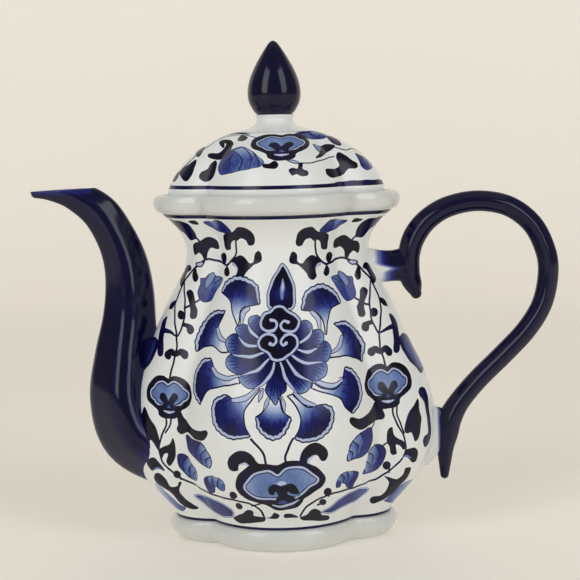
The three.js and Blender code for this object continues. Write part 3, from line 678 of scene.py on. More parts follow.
def paint_low_left(p):
    """Below the side heart, on the spout's side."""
    p.line([(-61, 62), (-60.6, 57.4), (-62.8, 52.6), (-64.8, 47.6), (-64.8, 43), (-62.8, 38.6),
            (-57.2, 34), (-50, 30.4), (-42.4, 28), (-33.6, 26.4), (-23.4, 25.4), (-15.6, 24.2),
            (-10.6, 21.4), (-8.4, 17.4)], 0.5)
    p.line([(-57.6, 62), (-58.6, 57), (-61.2, 53.2)], 0.45)
    p.line([(-14, 22.8), (-10, 24.4), (-7.4, 25)], 0.4)
    p.blob([(-53.8, 64), (-51.7, 60.3), (-46.8, 57.1), (-42.1, 55.8), (-36.3, 56.7), (-35.3, 54.6),
            (-38.4, 51.9), (-43.1, 51.8), (-49, 54), (-53.3, 52.9), (-55.5, 55), (-54.7, 57.8),
            (-55, 61.5)], BLACK)
    p.lobed_leaf([(-50.8, 52.8), (-45, 51.8), (-38.9, 50.7), (-35.9, 47.9), (-33.6, 45.4), (-33.2, 42.6),
                  (-34.5, 39.6), (-38, 40.2), (-42, 41.9), (-46.6, 44.1), (-50.1, 47)],
                 [[(-39.6, 51), (-43, 46.8), (-42.6, 42.4)], [(-36.2, 48.2), (-40.4, 44.6), (-38.8, 40.6)],
                  [(-33.8, 45.2), (-37.4, 43), (-36.2, 40.2)], [(-33.8, 41.6), (-34.8, 41), (-34.6, 39.9)]])
    p.lobed_leaf([(-55.7, 42.9), (-53, 44), (-50, 42.9), (-47.6, 40.4), (-44.6, 37.8), (-43.8, 34.5),
                  (-45.5, 31.7), (-49.4, 32.2), (-52.9, 35.3), (-55, 38.2)],
                 [[(-50.2, 43), (-52.8, 39.8), (-52.6, 35.2)], [(-47.2, 40), (-50.2, 36.8), (-49.6, 32.6)],
                  [(-44.6, 37), (-47.4, 34.6), (-46.8, 32)], [(-44, 34), (-45.2, 33.2), (-45.2, 32)]])
    p.lobed_leaf([(-39.2, 34.4), (-35.3, 36), (-31.6, 36.1), (-28.2, 34.8), (-26.5, 32.2), (-27.3, 29.5),
                  (-29.9, 29.8), (-32, 31.1), (-33, 28), (-36.7, 27.1), (-38.9, 30.7)],
                 [[(-37, 35.6), (-36.4, 32), (-34.4, 28.2)], [(-33.8, 36.4), (-34, 33), (-32.8, 30.6)],
                  [(-30, 35.8), (-31, 33), (-30.6, 30.8)], [(-27.2, 33.6), (-29, 32.4), (-28.6, 30)]])
    p.blob([(-57.6, 50.8), (-56.4, 47.5), (-56.2, 44.1), (-57.5, 39.9), (-59.6, 37.5), (-61.3, 39.7),
            (-60.4, 43.4), (-62.5, 43), (-64.2, 40.5), (-65.2, 44.8), (-62.4, 46.6), (-59.3, 48.2)], BLACK)
    p.blob([(-72.5, 39.4), (-68.5, 41), (-65.2, 38.8), (-62.7, 35.3), (-67.5, 36.1), (-70, 34.3),
            (-72.8, 36.7)], BLACK)
    p.stroke([(-69.6, 34.8), (-66, 36), (-63, 35)], [0.2, 0.5, 0.2], LIGHT)
    p.blob([(-73.4, 64), (-69.2, 58.4), (-66, 54), (-64.6, 48.3), (-65.3, 44.7), (-68.2, 48), (-70.2, 49),
            (-70.1, 44.9), (-73.3, 48.7), (-75.4, 56.5)], BLACK)
    p.dot(-56, 33.8, 2)
    p.line([(-55, 32.8), (-54, 31.6)], 0.5)
    p.blob([(-69, 28.6), (-62, 22.6), (-56, 18), (-52.4, 16.4), (-56, 13.8), (-64, 15.8), (-70, 21)],
           fade((-58, 20), (-70, 22), MID, 0.15))
    p.blob([(-65.5, 33.4), (-62.2, 31), (-60.4, 27.5), (-56.6, 27.8), (-55.6, 29.8), (-54, 29.9),
            (-55.5, 25.7), (-52.8, 21.4), (-49.1, 19), (-46.1, 17), (-47.8, 16), (-51.7, 16.3),
            (-56.3, 19.4), (-60.1, 23.9), (-66.5, 27.1), (-69.4, 29.5), (-68.4, 33)], BLACK)
    p.wash_leaf([(-48.4, 23.6), (-41.5, 24.5), (-34.1, 23.9), (-27.4, 21.8), (-23.4, 19.2), (-23.5, 16.5),
                 (-25.5, 14.8), (-31.3, 14.3), (-39.7, 16.2), (-44.8, 19.8)], (-48, 23), (-24, 16))
    p.dot(-22.8, 27.8, 2)
    p.dot(-20.3, 22.2, 1.8)
    p.blob([(-24.2, 15), (-20.4, 17.4), (-18.7, 18.3), (-16.4, 20.6), (-13.5, 19.9), (-13, 17.5),
            (-8.2, 17), (-9, 14.6), (-15, 13.5), (-20.1, 12.6)], BLACK)
    p.blob([(-8.4, 17), (-5.6, 17.2), (-3.9, 19.6), (-1.5, 18.2), (-3.4, 16.1)], BLACK)


def paint_big_heart(p):
    """The big heart low on the front, with its two horns and the two stems over them."""
    p.line([(5.1, 54.6), (2.9, 50.6), (1.6, 47), (1.9, 43.4)], 0.52)
    p.line([(-13.3, 54.6), (-9.6, 50.5), (-7.4, 46.8), (-7, 42.8)], 0.52)
    p.blob([(8, 43.4), (8.2, 47), (9.3, 49.6), (11.8, 51.6), (16.1, 52.2), (19.5, 49.7), (20.8, 46.5),
            (19.4, 44.1), (17.4, 44), (15.8, 46.5), (13.4, 46.7), (11.9, 44.8), (11.5, 41.6)], BLACK)
    p.stroke([(11.3, 43.4), (12.1, 45.4), (14.8, 46.8)], [0.4, 0.5, 0.2], PALE)
    p.blob([(-9.6, 42.6), (-11.2, 45.2), (-12.8, 47.4), (-15.9, 49), (-20, 49), (-23.2, 46.4),
            (-24.8, 43.4), (-23.9, 40.6), (-21.5, 39.6), (-19.5, 40.4), (-19.5, 42.2), (-17.1, 43.7),
            (-14.8, 42.3), (-14.4, 39.8)], BLACK)
    p.stroke([(-14.4, 42), (-16.4, 43.6), (-19.2, 42.9)], [0.4, 0.5, 0.2], PALE)
    outer = [(-11.2, 43.9), (-6.6, 43.6), (-1.7, 43.4), (2.7, 45), (7.5, 44.8), (14.2, 42.1), (17.6, 39.1),
             (19.3, 35.9), (18.2, 32.4), (14, 29.5), (9.7, 26.8), (8.5, 24.3), (6.1, 22.3), (0.6, 20.9),
             (-3.8, 21.3), (-7.1, 23.4), (-11.5, 25), (-16.1, 26.3), (-19.8, 29.4), (-21.3, 33.7),
             (-19.7, 38), (-15.5, 42.1)]
    inner = spline([(-16.7, 33.1), (-14, 36.9), (-10, 39.6), (-5.6, 40.1), (-1.8, 38.3), (1.4, 40.9),
                    (5.3, 41.9), (9, 41.2), (12.4, 38.9), (15.5, 36), (14.5, 33.9), (11.6, 32.4),
                    (9, 30), (5.6, 27.6), (0.6, 27), (-4.8, 27.3), (-8.9, 27.1), (-12.8, 28.3),
                    (-15.6, 30.3)], 5, closed=True)
    p.blob(outer, BLACK)
    p.fill(inset(inner, -0.7), PALE)
    p.fill(inset(inner, 0.25), NAVY)
    p.fill(inset(inner, 0.75), around((-0.5, 34), 16, 0.40, 0.32))
    p.blob([(-2.6, 34.4), (-0.3, 35.9), (1.9, 34.7), (-0.2, 33.6)], PALE)
    p.stroke([(-4.6, 30.6), (-4, 32.2), (-1.8, 32)], [1.5, 2, 1.5])
    p.stroke([(-1.8, 32), (-0.6, 28.6), (-2, 24.6)], [1.6, 1.5, 2.2])
    p.stroke([(0.4, 32.2), (3.6, 32.4), (5.2, 30.2)], [1.6, 2, 2])
    p.stroke([(0.4, 32), (0.8, 28.4), (3.4, 26.6)], [1.6, 1.7, 2])
    p.stroke([(7, 28.4), (4.4, 28.8), (2.6, 30)], [0.5, 0.45, 0.3], LIGHT)
    p.blob([(-2, 24.5), (-0.2, 26.2), (2.2, 24.5)], MID)
    p.stroke([(-4.4, 23.8), (-0.5, 22.9), (3.9, 24.3), (7, 26)], [0.3, 0.55, 0.6, 0.25], PALE)


def paint_tulip(p):
    outline = spline([(26.6, 120.8), (29.9, 121.9), (31.9, 121.9), (33.1, 123.4), (35.3, 122.4),
                      (37.1, 121.1), (39.6, 120.7), (40.2, 117.9), (41.4, 114.6), (40.9, 111.5),
                      (37.9, 109.9), (34, 111.6), (31.1, 115), (28.4, 118.1)], 5, closed=True)
    p.fill(outline, NAVY)
    p.fill(inset(outline, 0.35), fade((39, 110), (33, 122), DEEP, MID - 0.08, 0.8))
    p.blob([(32.6, 121.2), (33.3, 122.6), (35, 121.8), (37.2, 119), (37.2, 116.6), (34.4, 118.4)], LIGHT)
    p.blob([(28.6, 120.6), (30.4, 121), (33.2, 118.4), (30.8, 119)], LIGHT)
    p.stroke([(32.2, 121.7), (33.8, 119.4), (37.2, 116)], [0.3, 0.35, 0.2], NAVY)
    p.stroke([(35.3, 122.3), (38.1, 119.2), (37.5, 116)], [0.3, 0.35, 0.2], NAVY)
    p.stroke([(28, 120.9), (31, 119.6), (33.6, 118.2)], [0.25, 0.3, 0.2], NAVY)
    p.line([(41, 111.2), (43, 110)], 0.4)


def painted_body():
    p = Painting()
    for flip in (1, -1):
        p.flip = flip
        p.shift = (0.0, 0.0) if flip > 0 else (-1.6, 0.6)
        paint_side(p)
    p.flip = 1
    p.shift = (0.0, 0.0)
    paint_low_right(p)
    paint_low_left(p)
    p.heart((56.6, 72), 13.6, 10.1)
    p.heart((-59.2, 69), 12.8, 9.6)
    paint_big_heart(p)
    paint_flower(p)
    return p


def painted_lid():
    """The lid's decoration, the same in front and behind."""
    p = Painting()
    p.line([(-8.4, 33.6), (-14, 36.6), (-22, 37), (-30.3, 32.5), (-35.5, 26.9), (-44.7, 17), (-53.4, 9.1)],
           0.4)
    p.blob([(-19.9, 31.4), (-15.9, 30.2), (-12.9, 33.8), (-16.7, 37.2)], BLACK)
    p.stroke([(-12, 37.6), (-18, 40), (-26, 38.6), (-32, 34)], [0.5, 1.3, 1.5, 0.8], BLACK)
    p.blob([(-9.5, 42.3), (-6.6, 42), (-3.9, 45.5), (-7.3, 46)], BLACK)
    p.blob([(-39, 25.5), (-40.1, 18.6), (-43.3, 18.9), (-45.5, 23.4)], BLACK)
    p.lobed_leaf([(-27.8, 7.6), (-30.3, 12.2), (-28.4, 16.9), (-22.6, 22.7), (-16.3, 25.5), (-11.3, 22.8),
                  (-7, 17.7), (-5, 14.4), (-6.4, 11.9), (-10.5, 10.7), (-14.8, 9.9), (-21, 8.5)],
                 [[(-21.4, 23.4), (-15.6, 16.8), (-16.8, 9.4)], [(-15.2, 25.2), (-10.8, 17.8), (-12, 10.4)],
                  [(-10.1, 21.4), (-7.5, 15.7), (-8.2, 11.4)], [(-6.4, 16.4), (-5.8, 14.4), (-6.4, 12)]],
                 -0.12)
    for i in range(4):
        x = -28 + 1.8 * i
        p.stroke([(x, 9 + 0.3 * i), (x + 0.4, 13 + i), (x + 2, 16.4 + 1.4 * i)], [0.25, 0.3, 0.15], NAVY)
    p.blob([(-4.9, 11.2), (-5.5, 13.4), (-2.9, 13.3), (-0.3, 15.2), (1.4, 12.6), (-0.3, 10.4)], BLACK)
    p.stroke([(-25, 26.6), (-24.6, 29.8), (-28.2, 29.6), (-27.6, 25.2)], [1.3, 2, 1.7, 0.7], BLACK)
    p.stroke([(-24, 27.8), (-25.4, 22.4), (-29.4, 18.4), (-33.8, 18.8)], [1.7, 2.6, 2.3, 2], BLACK)
    p.blob([(-31.6, 15.6), (-31.9, 9.1), (-34.4, 5.2), (-37.8, 3.9), (-40.7, 6.1), (-39.4, 8.9),
            (-35.9, 10.9), (-34.5, 13.5)], BLACK)
    p.blob([(-42.2, 16.2), (-42.8, 11), (-44.7, 7), (-47.3, 4.1), (-51.2, 6.5), (-53.6, 9.6),
            (-48.4, 12.5)], BLACK)
    p.blob([(-53, 9.3), (-54.4, 4.9), (-57.5, 3.8), (-60.3, 5.2), (-57, 8)], BLACK)
    p.blob([(5.8, 9.4), (7.7, 10.8), (10, 10.5), (10.5, 13.2), (12.4, 13.2), (12.5, 10), (14.7, 8.6),
            (14.4, 6.5), (11.4, 6.4), (9.3, 7.4), (7.2, 6.6)], BLACK)
    p.line([(4.6, 15.5), (8.5, 13.5), (15.8, 13.2), (24.2, 14.9), (31.3, 16.5)], 0.35)
    p.stroke([(5, 15.4), (8, 15), (10.6, 13.8)], [0.2, 0.6, 0.2], LIGHT)
    p.lobed_leaf([(8.4, 36.4), (12.8, 40.4), (18.5, 41.4), (26.2, 38), (28.4, 33.5), (26, 30.9),
                  (21.5, 30.1), (14.2, 32.3)],
                 [[(17, 41.6), (19, 36), (18, 31)], [(22, 40), (23.4, 35.4), (22.6, 30.4)],
                  [(26, 38), (26.4, 34.6), (25.6, 31)], [(28, 34.8), (27.8, 33.6), (27.4, 32.4)]])
    p.blob([(27.8, 33.7), (32.9, 32.1), (35.5, 27.2), (35, 24.1), (31.6, 25.2), (28.7, 28.9)], NAVY)
    p.blob([(19.1, 26.5), (24.2, 24.2), (27.4, 26), (31.9, 24), (27.2, 18.8), (21.2, 16), (19.2, 16.1),
            (22, 19.3), (20.1, 21.9)], BLACK)
    p.blob([(19.6, 25.7), (23.6, 23.7), (22.8, 20.6), (20.9, 22)], LIGHT)
    p.blob([(33.2, 19), (36.6, 17.5), (40.2, 14), (43.3, 11.7), (42.9, 9.3), (38.5, 8.8), (35.2, 5.7),
            (28.8, 4.8), (24.7, 6.7), (25.1, 9.7), (31, 9.2), (34.1, 11.1), (32.4, 15.2)], BLACK)
    p.lobed_leaf([(43, 17.9), (47.3, 16.7), (52.4, 13.5), (54.8, 9.4), (48.6, 7.9), (45.7, 9.6),
                  (44.6, 12.5)],
                 [[(46.4, 17), (48.4, 13.6), (46.4, 9.4)], [(50, 15), (51, 12), (49.4, 8.4)],
                  [(53, 12.4), (53.2, 10.4), (52.4, 9)]])
    p.line([(31.6, 22.9), (36.8, 20.7), (41.6, 21.3), (48, 19.4), (55.4, 13), (60.6, 6)], 0.38)
    p.stroke([(26, 1.9), (34, 2.1), (42, 2.2), (50, 2.2), (58, 2.1), (64, 1.9)],
             [0.2, 0.6, 0.8, 0.8, 0.6, 0.2], NAVY)
    p.heart((2.9, 26.4), 14.2, 11.4)
    return p


# ---- From outlines to a mesh ----------------------------------------------------------------------

def inside(outline, points):
    """Which points lie inside an outline, by its winding."""
    x0, y0 = outline[:, 0], outline[:, 1]
    x1, y1 = np.roll(x0, -1), np.roll(y0, -1)
    px, py = points[:, 0:1], points[:, 1:2]
    up = (y0 <= py) & (y1 > py)
    down = (y0 > py) & (y1 <= py)
    left = (x1 - x0) * (py - y0) - (px - x0) * (y1 - y0)
    return ((up & (left > 0)).sum(1) - (down & (left < 0)).sum(1)) != 0


def inside_near(outline, points):
    """Inside, tested only for the points in the outline's box."""
    low, high = outline.min(0), outline.max(0)
    near = np.nonzero(((points >= low) & (points <= high)).all(1))[0]
    if not len(near):
        return near
    return near[inside(outline, points[near])]


def cut_and_colour(skin, shapes, to_plane, from_plane, grid, borders):
    """Cuts the skin along every outline. Returns the places (f, t), triangles and corner densities."""
    points = [np.asarray(grid, float)]
    edges = [np.asarray(borders, int).reshape(-1, 2)]
    count = len(grid)
    planes = []
    for outline, density in shapes:
        plane = to_plane(outline[:, 0] / skin.quarter(outline[:, 1]), outline[:, 1])
        planes.append(plane)
        n = len(plane)
        index = count + np.arange(n)
        points.append(plane)
        edges.append(np.stack([index, np.roll(index, -1)], 1))
        count += n
        if callable(density):
            low, high = plane.min(0), plane.max(0)
            xs = np.arange(low[0] + 0.7, high[0], 1.5)
            ys = np.arange(low[1] + 0.7, high[1], 1.5)
            fine = np.stack(np.meshgrid(xs, ys), -1).reshape(-1, 2)
            fine = fine[inside_near(plane, fine)]
            points.append(fine)
            count += len(fine)
    points = np.concatenate(points)
    edges = np.concatenate(edges)
    made = delaunay_2d_cdt([Vector(q) for q in points.tolist()], edges.tolist(), [], 0, 1e-4, False)
    plane = np.array([tuple(v) for v in made[0]])
    faces = np.array([f for f in made[2] if len(f) == 3])
    a, b, c = (plane[faces[:, i]] for i in range(3))
    area = (b[:, 0] - a[:, 0]) * (c[:, 1] - a[:, 1]) - (b[:, 1] - a[:, 1]) * (c[:, 0] - a[:, 0])
    faces = faces[np.abs(area) > 1e-9]
    centre = plane[faces].mean(1)
    f, t = from_plane(plane)
    place = np.stack([f * skin.quarter(t), t], 1)
    density = np.zeros(faces.shape)
    for (outline, tone), shape in zip(shapes, planes):
        hit = inside_near(shape, centre)
        if callable(tone):
            density[hit] = tone(place[faces[hit]].reshape(-1, 2)).reshape(-1, 3)
        else:
            density[hit] = tone
    return f, t, faces, density


def weld(points, faces):
    """Joins points that lie together."""
    rounded = np.round(points, 3)
    _, first, index = np.unique(rounded, axis=0, return_index=True, return_inverse=True)
    return points[first], index.reshape(-1)[faces]


def drop_thin(faces, *corner_values):
    good = (faces[:, 0] != faces[:, 1]) & (faces[:, 1] != faces[:, 2]) & (faces[:, 2] != faces[:, 0])
    return (faces[good],) + tuple(v[good] for v in corner_values)


def ring_faces(rings, around_count):
    """Triangles between rings that follow each other, facing out where they climb the outside."""
    i = np.arange(rings - 1)[:, None] * around_count
    j = np.arange(around_count)[None, :]
    k = (j + 1) % around_count
    quad = np.stack([i + j, i + k, i + around_count + k, i + around_count + j], -1).reshape(-1, 4)
    return np.concatenate([quad[:, [0, 1, 2]], quad[:, [0, 2, 3]]])


def closed_mesh(rings, sides):
    """The points and faces of rings joined into one closed mesh, with its faces pointing out."""
    points, faces = weld(np.concatenate(rings), ring_faces(len(rings), sides))
    (faces,) = drop_thin(faces)
    a, b, c = (points[faces[:, i]] for i in range(3))
    if np.einsum("ij,ij->", a, np.cross(b, c)) < 0:
        faces = faces[:, ::-1]
    return points, faces


def make_piece(name, points, faces, material, body, replaces, density=None, normals=None):
    """A mesh in the CAD frame. Density is per corner, and so are normals, zero where it is smooth."""
    mesh = bpy.data.meshes.new(name)
    placed = (points + [AXIS_X, 0, 0]) * MM
    mesh.from_pydata(placed.tolist(), [], faces.tolist())
    mesh.update()
    mesh.shade_smooth()
    mesh.set_sharp_from_angle(angle=math.radians(50))
    attribute = mesh.attributes.new("paint", "FLOAT", "CORNER" if faces.shape[1] == 3 else "POINT")
    if density is not None:
        attribute.data.foreach_set("value", np.asarray(density, np.float32).reshape(-1))
    if normals is not None:
        mesh.normals_split_custom_set(normals.reshape(-1, 3).tolist())
    mesh.materials.append(material)
    piece = bpy.data.objects.new(name, mesh)
    bpy.context.scene.collection.objects.link(piece)
    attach(piece, body)
    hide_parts(*replaces)
    return piece


def lid_groove(z):
    return LID_GROOVE + 0 * z


BODY_PROFILE = spline(BODY_OUTSIDE, 10)
BODY_SKIN = Skin(BODY_PROFILE, BODY_PROFILE[:, 1], pot_groove)

_lid = spline(LID_OUTSIDE, 10)
_steps = np.concatenate([[0], np.cumsum(np.linalg.norm(np.diff(_lid, axis=0), axis=1))])
_steps = _steps - np.interp(LID_EDGE_Z, _lid[:, 1], _steps)
LID_ROUND_FROM = (9, 30)
LID_SKIN = Skin(_lid, _steps, lid_groove, LID_ROUND_FROM)
LID_LENGTH = _steps[-1] + 4
LID_BAND = (0.3, 2.1)

BODY_COLUMNS = 72
BODY_ROWS = 58
PAINT_SIDE = 0.985
PAINT_LOW, PAINT_HIGH = 12, 148
ON_EDGE = 1e-3
FOOT_LINE = 1.2
NECK_LINE = 1.3


def body_piece(material):
    shapes = painted_body().shapes
    quarter_turn = 90.0
    columns = np.linspace(-1, 1, BODY_COLUMNS + 1)
    rows = np.linspace(BODY_LOW + FOOT_LINE, BODY_HIGH - NECK_LINE, BODY_ROWS - 2)
    rows = np.concatenate([[BODY_LOW], rows, [BODY_HIGH]])
    f, t = np.meshgrid(columns, rows)
    grid = np.stack([f.reshape(-1) * quarter_turn, t.reshape(-1)], 1)
    wide = BODY_COLUMNS + 1
    bottom = [(i, i + 1) for i in range(BODY_COLUMNS)]
    top = [(a + wide * (BODY_ROWS - 1), b + wide * (BODY_ROWS - 1)) for a, b in bottom]
    lines = [(a + wide, b + wide) for a, b in bottom] + [(a - wide, b - wide) for a, b in top]
    left = [(wide * i, wide * (i + 1)) for i in range(BODY_ROWS - 1)]
    right = [(a + BODY_COLUMNS, b + BODY_COLUMNS) for a, b in left]

    def to_plane(f, t):
        return np.stack(
            [np.clip(f, -PAINT_SIDE, PAINT_SIDE) * quarter_turn, np.clip(t, PAINT_LOW, PAINT_HIGH)], 1
        )

    def from_plane(plane):
        return plane[:, 0] / quarter_turn, plane[:, 1]

    f, t, faces, density = cut_and_colour(
        BODY_SKIN, shapes, to_plane, from_plane, grid, bottom + top + lines + left + right
    )
    # The lines at the foot and the neck run right round, so they follow the rows of the grid.
    centre_t = t[faces].mean(1)
    density[centre_t < rows[1]] = NAVY
    density[centre_t > rows[-2]] = NAVY
    points, corners, values, shading = [], [], [], []
    count = 0
    for turn in (0, 2):
        points.append(BODY_SKIN.points(f + turn, t))
        corners.append(faces + count)
        values.append(density)
        shading.append(BODY_SKIN.normals(f + turn, t)[faces])
        count += len(f)
    edge_f = np.sort(f[np.abs(t - BODY_HIGH) < ON_EDGE])[:-1]
    edge_f = np.concatenate([edge_f, edge_f + 2])
    inside_rings = spline(BODY_INSIDE, 3)
    rings = [BODY_SKIN.points(edge_f, 0 * edge_f + BODY_HIGH)]
    rings += [ring_points(edge_f, half, z, pot_groove(z)) for half, z in inside_rings]
    points.append(np.concatenate(rings))
    corners.append(ring_faces(len(rings), len(edge_f)) + count)
    count += len(points[-1])
    edge_f = np.sort(f[np.abs(t - BODY_LOW) < ON_EDGE])[:-1]
    edge_f = np.concatenate([edge_f, edge_f + 2])
    under = [(0, BODY_LOW), (20, BODY_LOW), (40, BODY_LOW)]
    rings = [ring_points(edge_f, half, z, pot_groove(z)) for half, z in under]
    rings.append(BODY_SKIN.points(edge_f, 0 * edge_f + BODY_LOW))
    points.append(np.concatenate(rings))
    corners.append(ring_faces(len(rings), len(edge_f)) + count)
    plain = len(corners[-1]) + len(corners[-2])
    values.append(np.zeros((plain, 3)))
    shading.append(np.zeros((plain, 3, 3)))
    joined, faces = weld(np.concatenate(points), np.concatenate(corners))
    faces, values, shading = drop_thin(faces, np.concatenate(values), np.concatenate(shading))
    return make_piece("pot_body", joined, faces, material, "pot", ["body_shell"], values, shading)


def half_turn_on(outline, density):
    """A shape of the lid's front, moved behind. A varying density is read off at the front."""
    turned = outline.copy()
    turned[:, 0] += 2 * LID_SKIN.quarter(outline[:, 1])
    if not callable(density):
        return turned, density

    def density_behind(places):
        s, t = places[:, 0], places[:, 1]
        quarter = LID_SKIN.quarter(t)
        is_behind = np.abs(s) > quarter
        return density(np.stack([s - np.sign(s) * 2 * quarter * is_behind, t], 1))

    return turned, density_behind


def lid_piece(material):
    shapes = painted_lid().shapes
    shapes = shapes + [half_turn_on(outline, density) for outline, density in shapes]
    plain_edge = np.linspace(LID_SKIN.t[0], LID_BAND[0], 4)
    dome = np.linspace(LID_BAND[1], LID_SKIN.t[-1], 30)
    ring_rows = np.concatenate([plain_edge, dome])
    grid = []
    for i, t in enumerate(ring_rows):
        sides = 144 if LID_LENGTH - t > 28 else 72 if LID_LENGTH - t > 12 else 36
        turns = np.arange(sides) / sides * 4 - 2
        grid.append(np.stack([turns, 0 * turns + t], 1))
    first_ring = len(grid[0])
    flat = np.concatenate(grid)

    def to_plane(f, t):
        angle = np.asarray(f) * math.pi / 2
        reach = LID_LENGTH - t
        return np.stack([reach * np.sin(angle), -reach * np.cos(angle)], 1)

    def from_plane(plane):
        reach = np.hypot(plane[:, 0], plane[:, 1])
        return np.arctan2(plane[:, 0], -plane[:, 1]) / (math.pi / 2), LID_LENGTH - reach

    border = [(i, (i + 1) % first_ring) for i in range(first_ring)]
    border += [(a + first_ring * row, b + first_ring * row) for row in (3, 4) for a, b in border[:first_ring]]
    f, t, faces, density = cut_and_colour(
        LID_SKIN, shapes, to_plane, from_plane, to_plane(flat[:, 0], flat[:, 1]), border
    )
    centre_t = t[faces].mean(1)
    density[(centre_t > LID_BAND[0]) & (centre_t < LID_BAND[1])] = NAVY
    points = [LID_SKIN.points(f, t)]
    corners = [faces]
    shading = [LID_SKIN.normals(f, t)[faces]]
    edge = np.abs(t - LID_SKIN.t[0]) < 1e-4
    edge_f = np.sort(f[edge])
    inner = spline(LID_INSIDE, 4)
    rings = [ring_points(edge_f, half, z, LID_GROOVE, float(LID_SKIN.roundness(half))) for half, z in inner]
    points.append(np.concatenate(rings))
    corners.append(ring_faces(len(rings), len(edge_f)) + len(f))
    values = np.concatenate([density, np.zeros((len(corners[-1]), 3))])
    shading.append(np.zeros((len(corners[-1]), 3, 3)))
    joined, faces = weld(np.concatenate(points), np.concatenate(corners))
    faces, values, shading = drop_thin(faces, values, np.concatenate(shading))
    return make_piece("lid_dome_painted", joined, faces, material, "lid", ["lid_dome"], values, shading)


def turned_piece(name, section, closed, material, body, replaces, groove, roundness=0.0, sides=144):
    """A solid of revolution with the lobed section, from a smooth outline."""
    outline = spline(section, 6, closed=closed)
    if closed:
        outline = np.concatenate([outline, outline[:1]])
    turns = np.arange(sides) / sides * 4
    rings = [ring_points(turns, half, z, groove(z), roundness) for half, z in outline]
    points, faces = closed_mesh(rings, sides)
    return make_piece(name, points, faces, material, body, replaces, np.zeros(faces.shape))


# ---- Bent bars: the spout and the handle ------------------------------------------------------------

def facet_reach(phi, softness):
    """Reach of the eight-sided section with softened edges."""
    c = np.abs(np.cos(phi))
    s = np.abs(np.sin(phi))
    front, side = FACET
    diagonal = ((1 - side) * c + (1 - front) * s) / (1 - front * side)
    return (c**softness + s**softness + diagonal**softness) ** (-1 / softness)


def rounded_end(ring, ahead, reach):
    """Rings that close the end of a bar with a dome."""
    centre = ring.mean(0)
    forward = np.array([ahead[0], 0, ahead[1]]) * reach
    turns = np.radians([22, 44, 66, 80, 90])
    return [centre + (ring - centre) * math.cos(a) + forward * math.sin(a) for a in turns]


def bent_bar(stations, shrink, per_span, sides, softness, dome=1.0):
    """A tapering bar along a curve in the XZ plane, closed at both ends."""
    smooth = spline([(x, z, w - shrink, d - shrink) for x, z, w, d in stations], per_span)
    line = smooth[:, :2]
    ahead = np.gradient(line, axis=0)
    ahead = ahead / np.linalg.norm(ahead, axis=1, keepdims=True)
    phi = np.arange(sides) / sides * 2 * math.pi
    reach = facet_reach(phi, softness)
    rings = []
    for (x, z), (tx, tz), (w, d) in zip(line, ahead, smooth[:, 2:]):
        across = reach * w * np.cos(phi)
        deep = reach * d * np.sin(phi)
        rings.append(np.stack([x - tz * across, deep, z + tx * across], 1))
    rings = rounded_end(rings[0], ahead[0], -dome * smooth[0, 2])[::-1] + rings
    rings += rounded_end(rings[-1], ahead[-1], dome * smooth[-1, 2])
    return closed_mesh(rings, sides)


def cutter(name, points, faces):
    mesh = bpy.data.meshes.new(name)
    mesh.from_pydata(((points + [AXIS_X, 0, 0]) * MM).tolist(), [], faces.tolist())
    made = bpy.data.objects.new(name, mesh)
    bpy.context.scene.collection.objects.link(made)
    return made


def carve(piece, cutters, voxel, smoothing):
    """Cuts solids away from a piece, then rounds its edges by a fine remesh."""
    for tool in cutters:
        cut = piece.modifiers.new("cut", "BOOLEAN")
        cut.operation = "DIFFERENCE"
        cut.solver = "EXACT"
        cut.object = tool
    if voxel:
        remesh = piece.modifiers.new("remesh", "REMESH")
        remesh.mode = "VOXEL"
        remesh.voxel_size = voxel * MM
        relax = piece.modifiers.new("relax", "SMOOTH")
        relax.factor = 0.5
        relax.iterations = smoothing
    bpy.context.view_layer.update()
    graph = bpy.context.evaluated_depsgraph_get()
    done = bpy.data.meshes.new_from_object(piece.evaluated_get(graph))
    piece.modifiers.clear()
    piece.data = done
    for tool in cutters:
        bpy.data.objects.remove(tool)
    done.shade_smooth()


def body_block(shrink):
    """The pot's outer shape as one solid, a little smaller, to cut roots back with."""
    profile = [(0, BODY_LOW)] + [(half - shrink, z) for half, z in BODY_PROFILE] + [(0, BODY_HIGH)]
    sides = 96
    turns = np.arange(sides) / sides * 4
    rings = [ring_points(turns, half, z, pot_groove(z)) for half, z in profile]
    return cutter("body_block", *closed_mesh(rings, sides))


def nearest_station(points, line):
    away = np.linalg.norm(points[:, None, :] - line[None], axis=2)
    return np.argmin(away, axis=1)


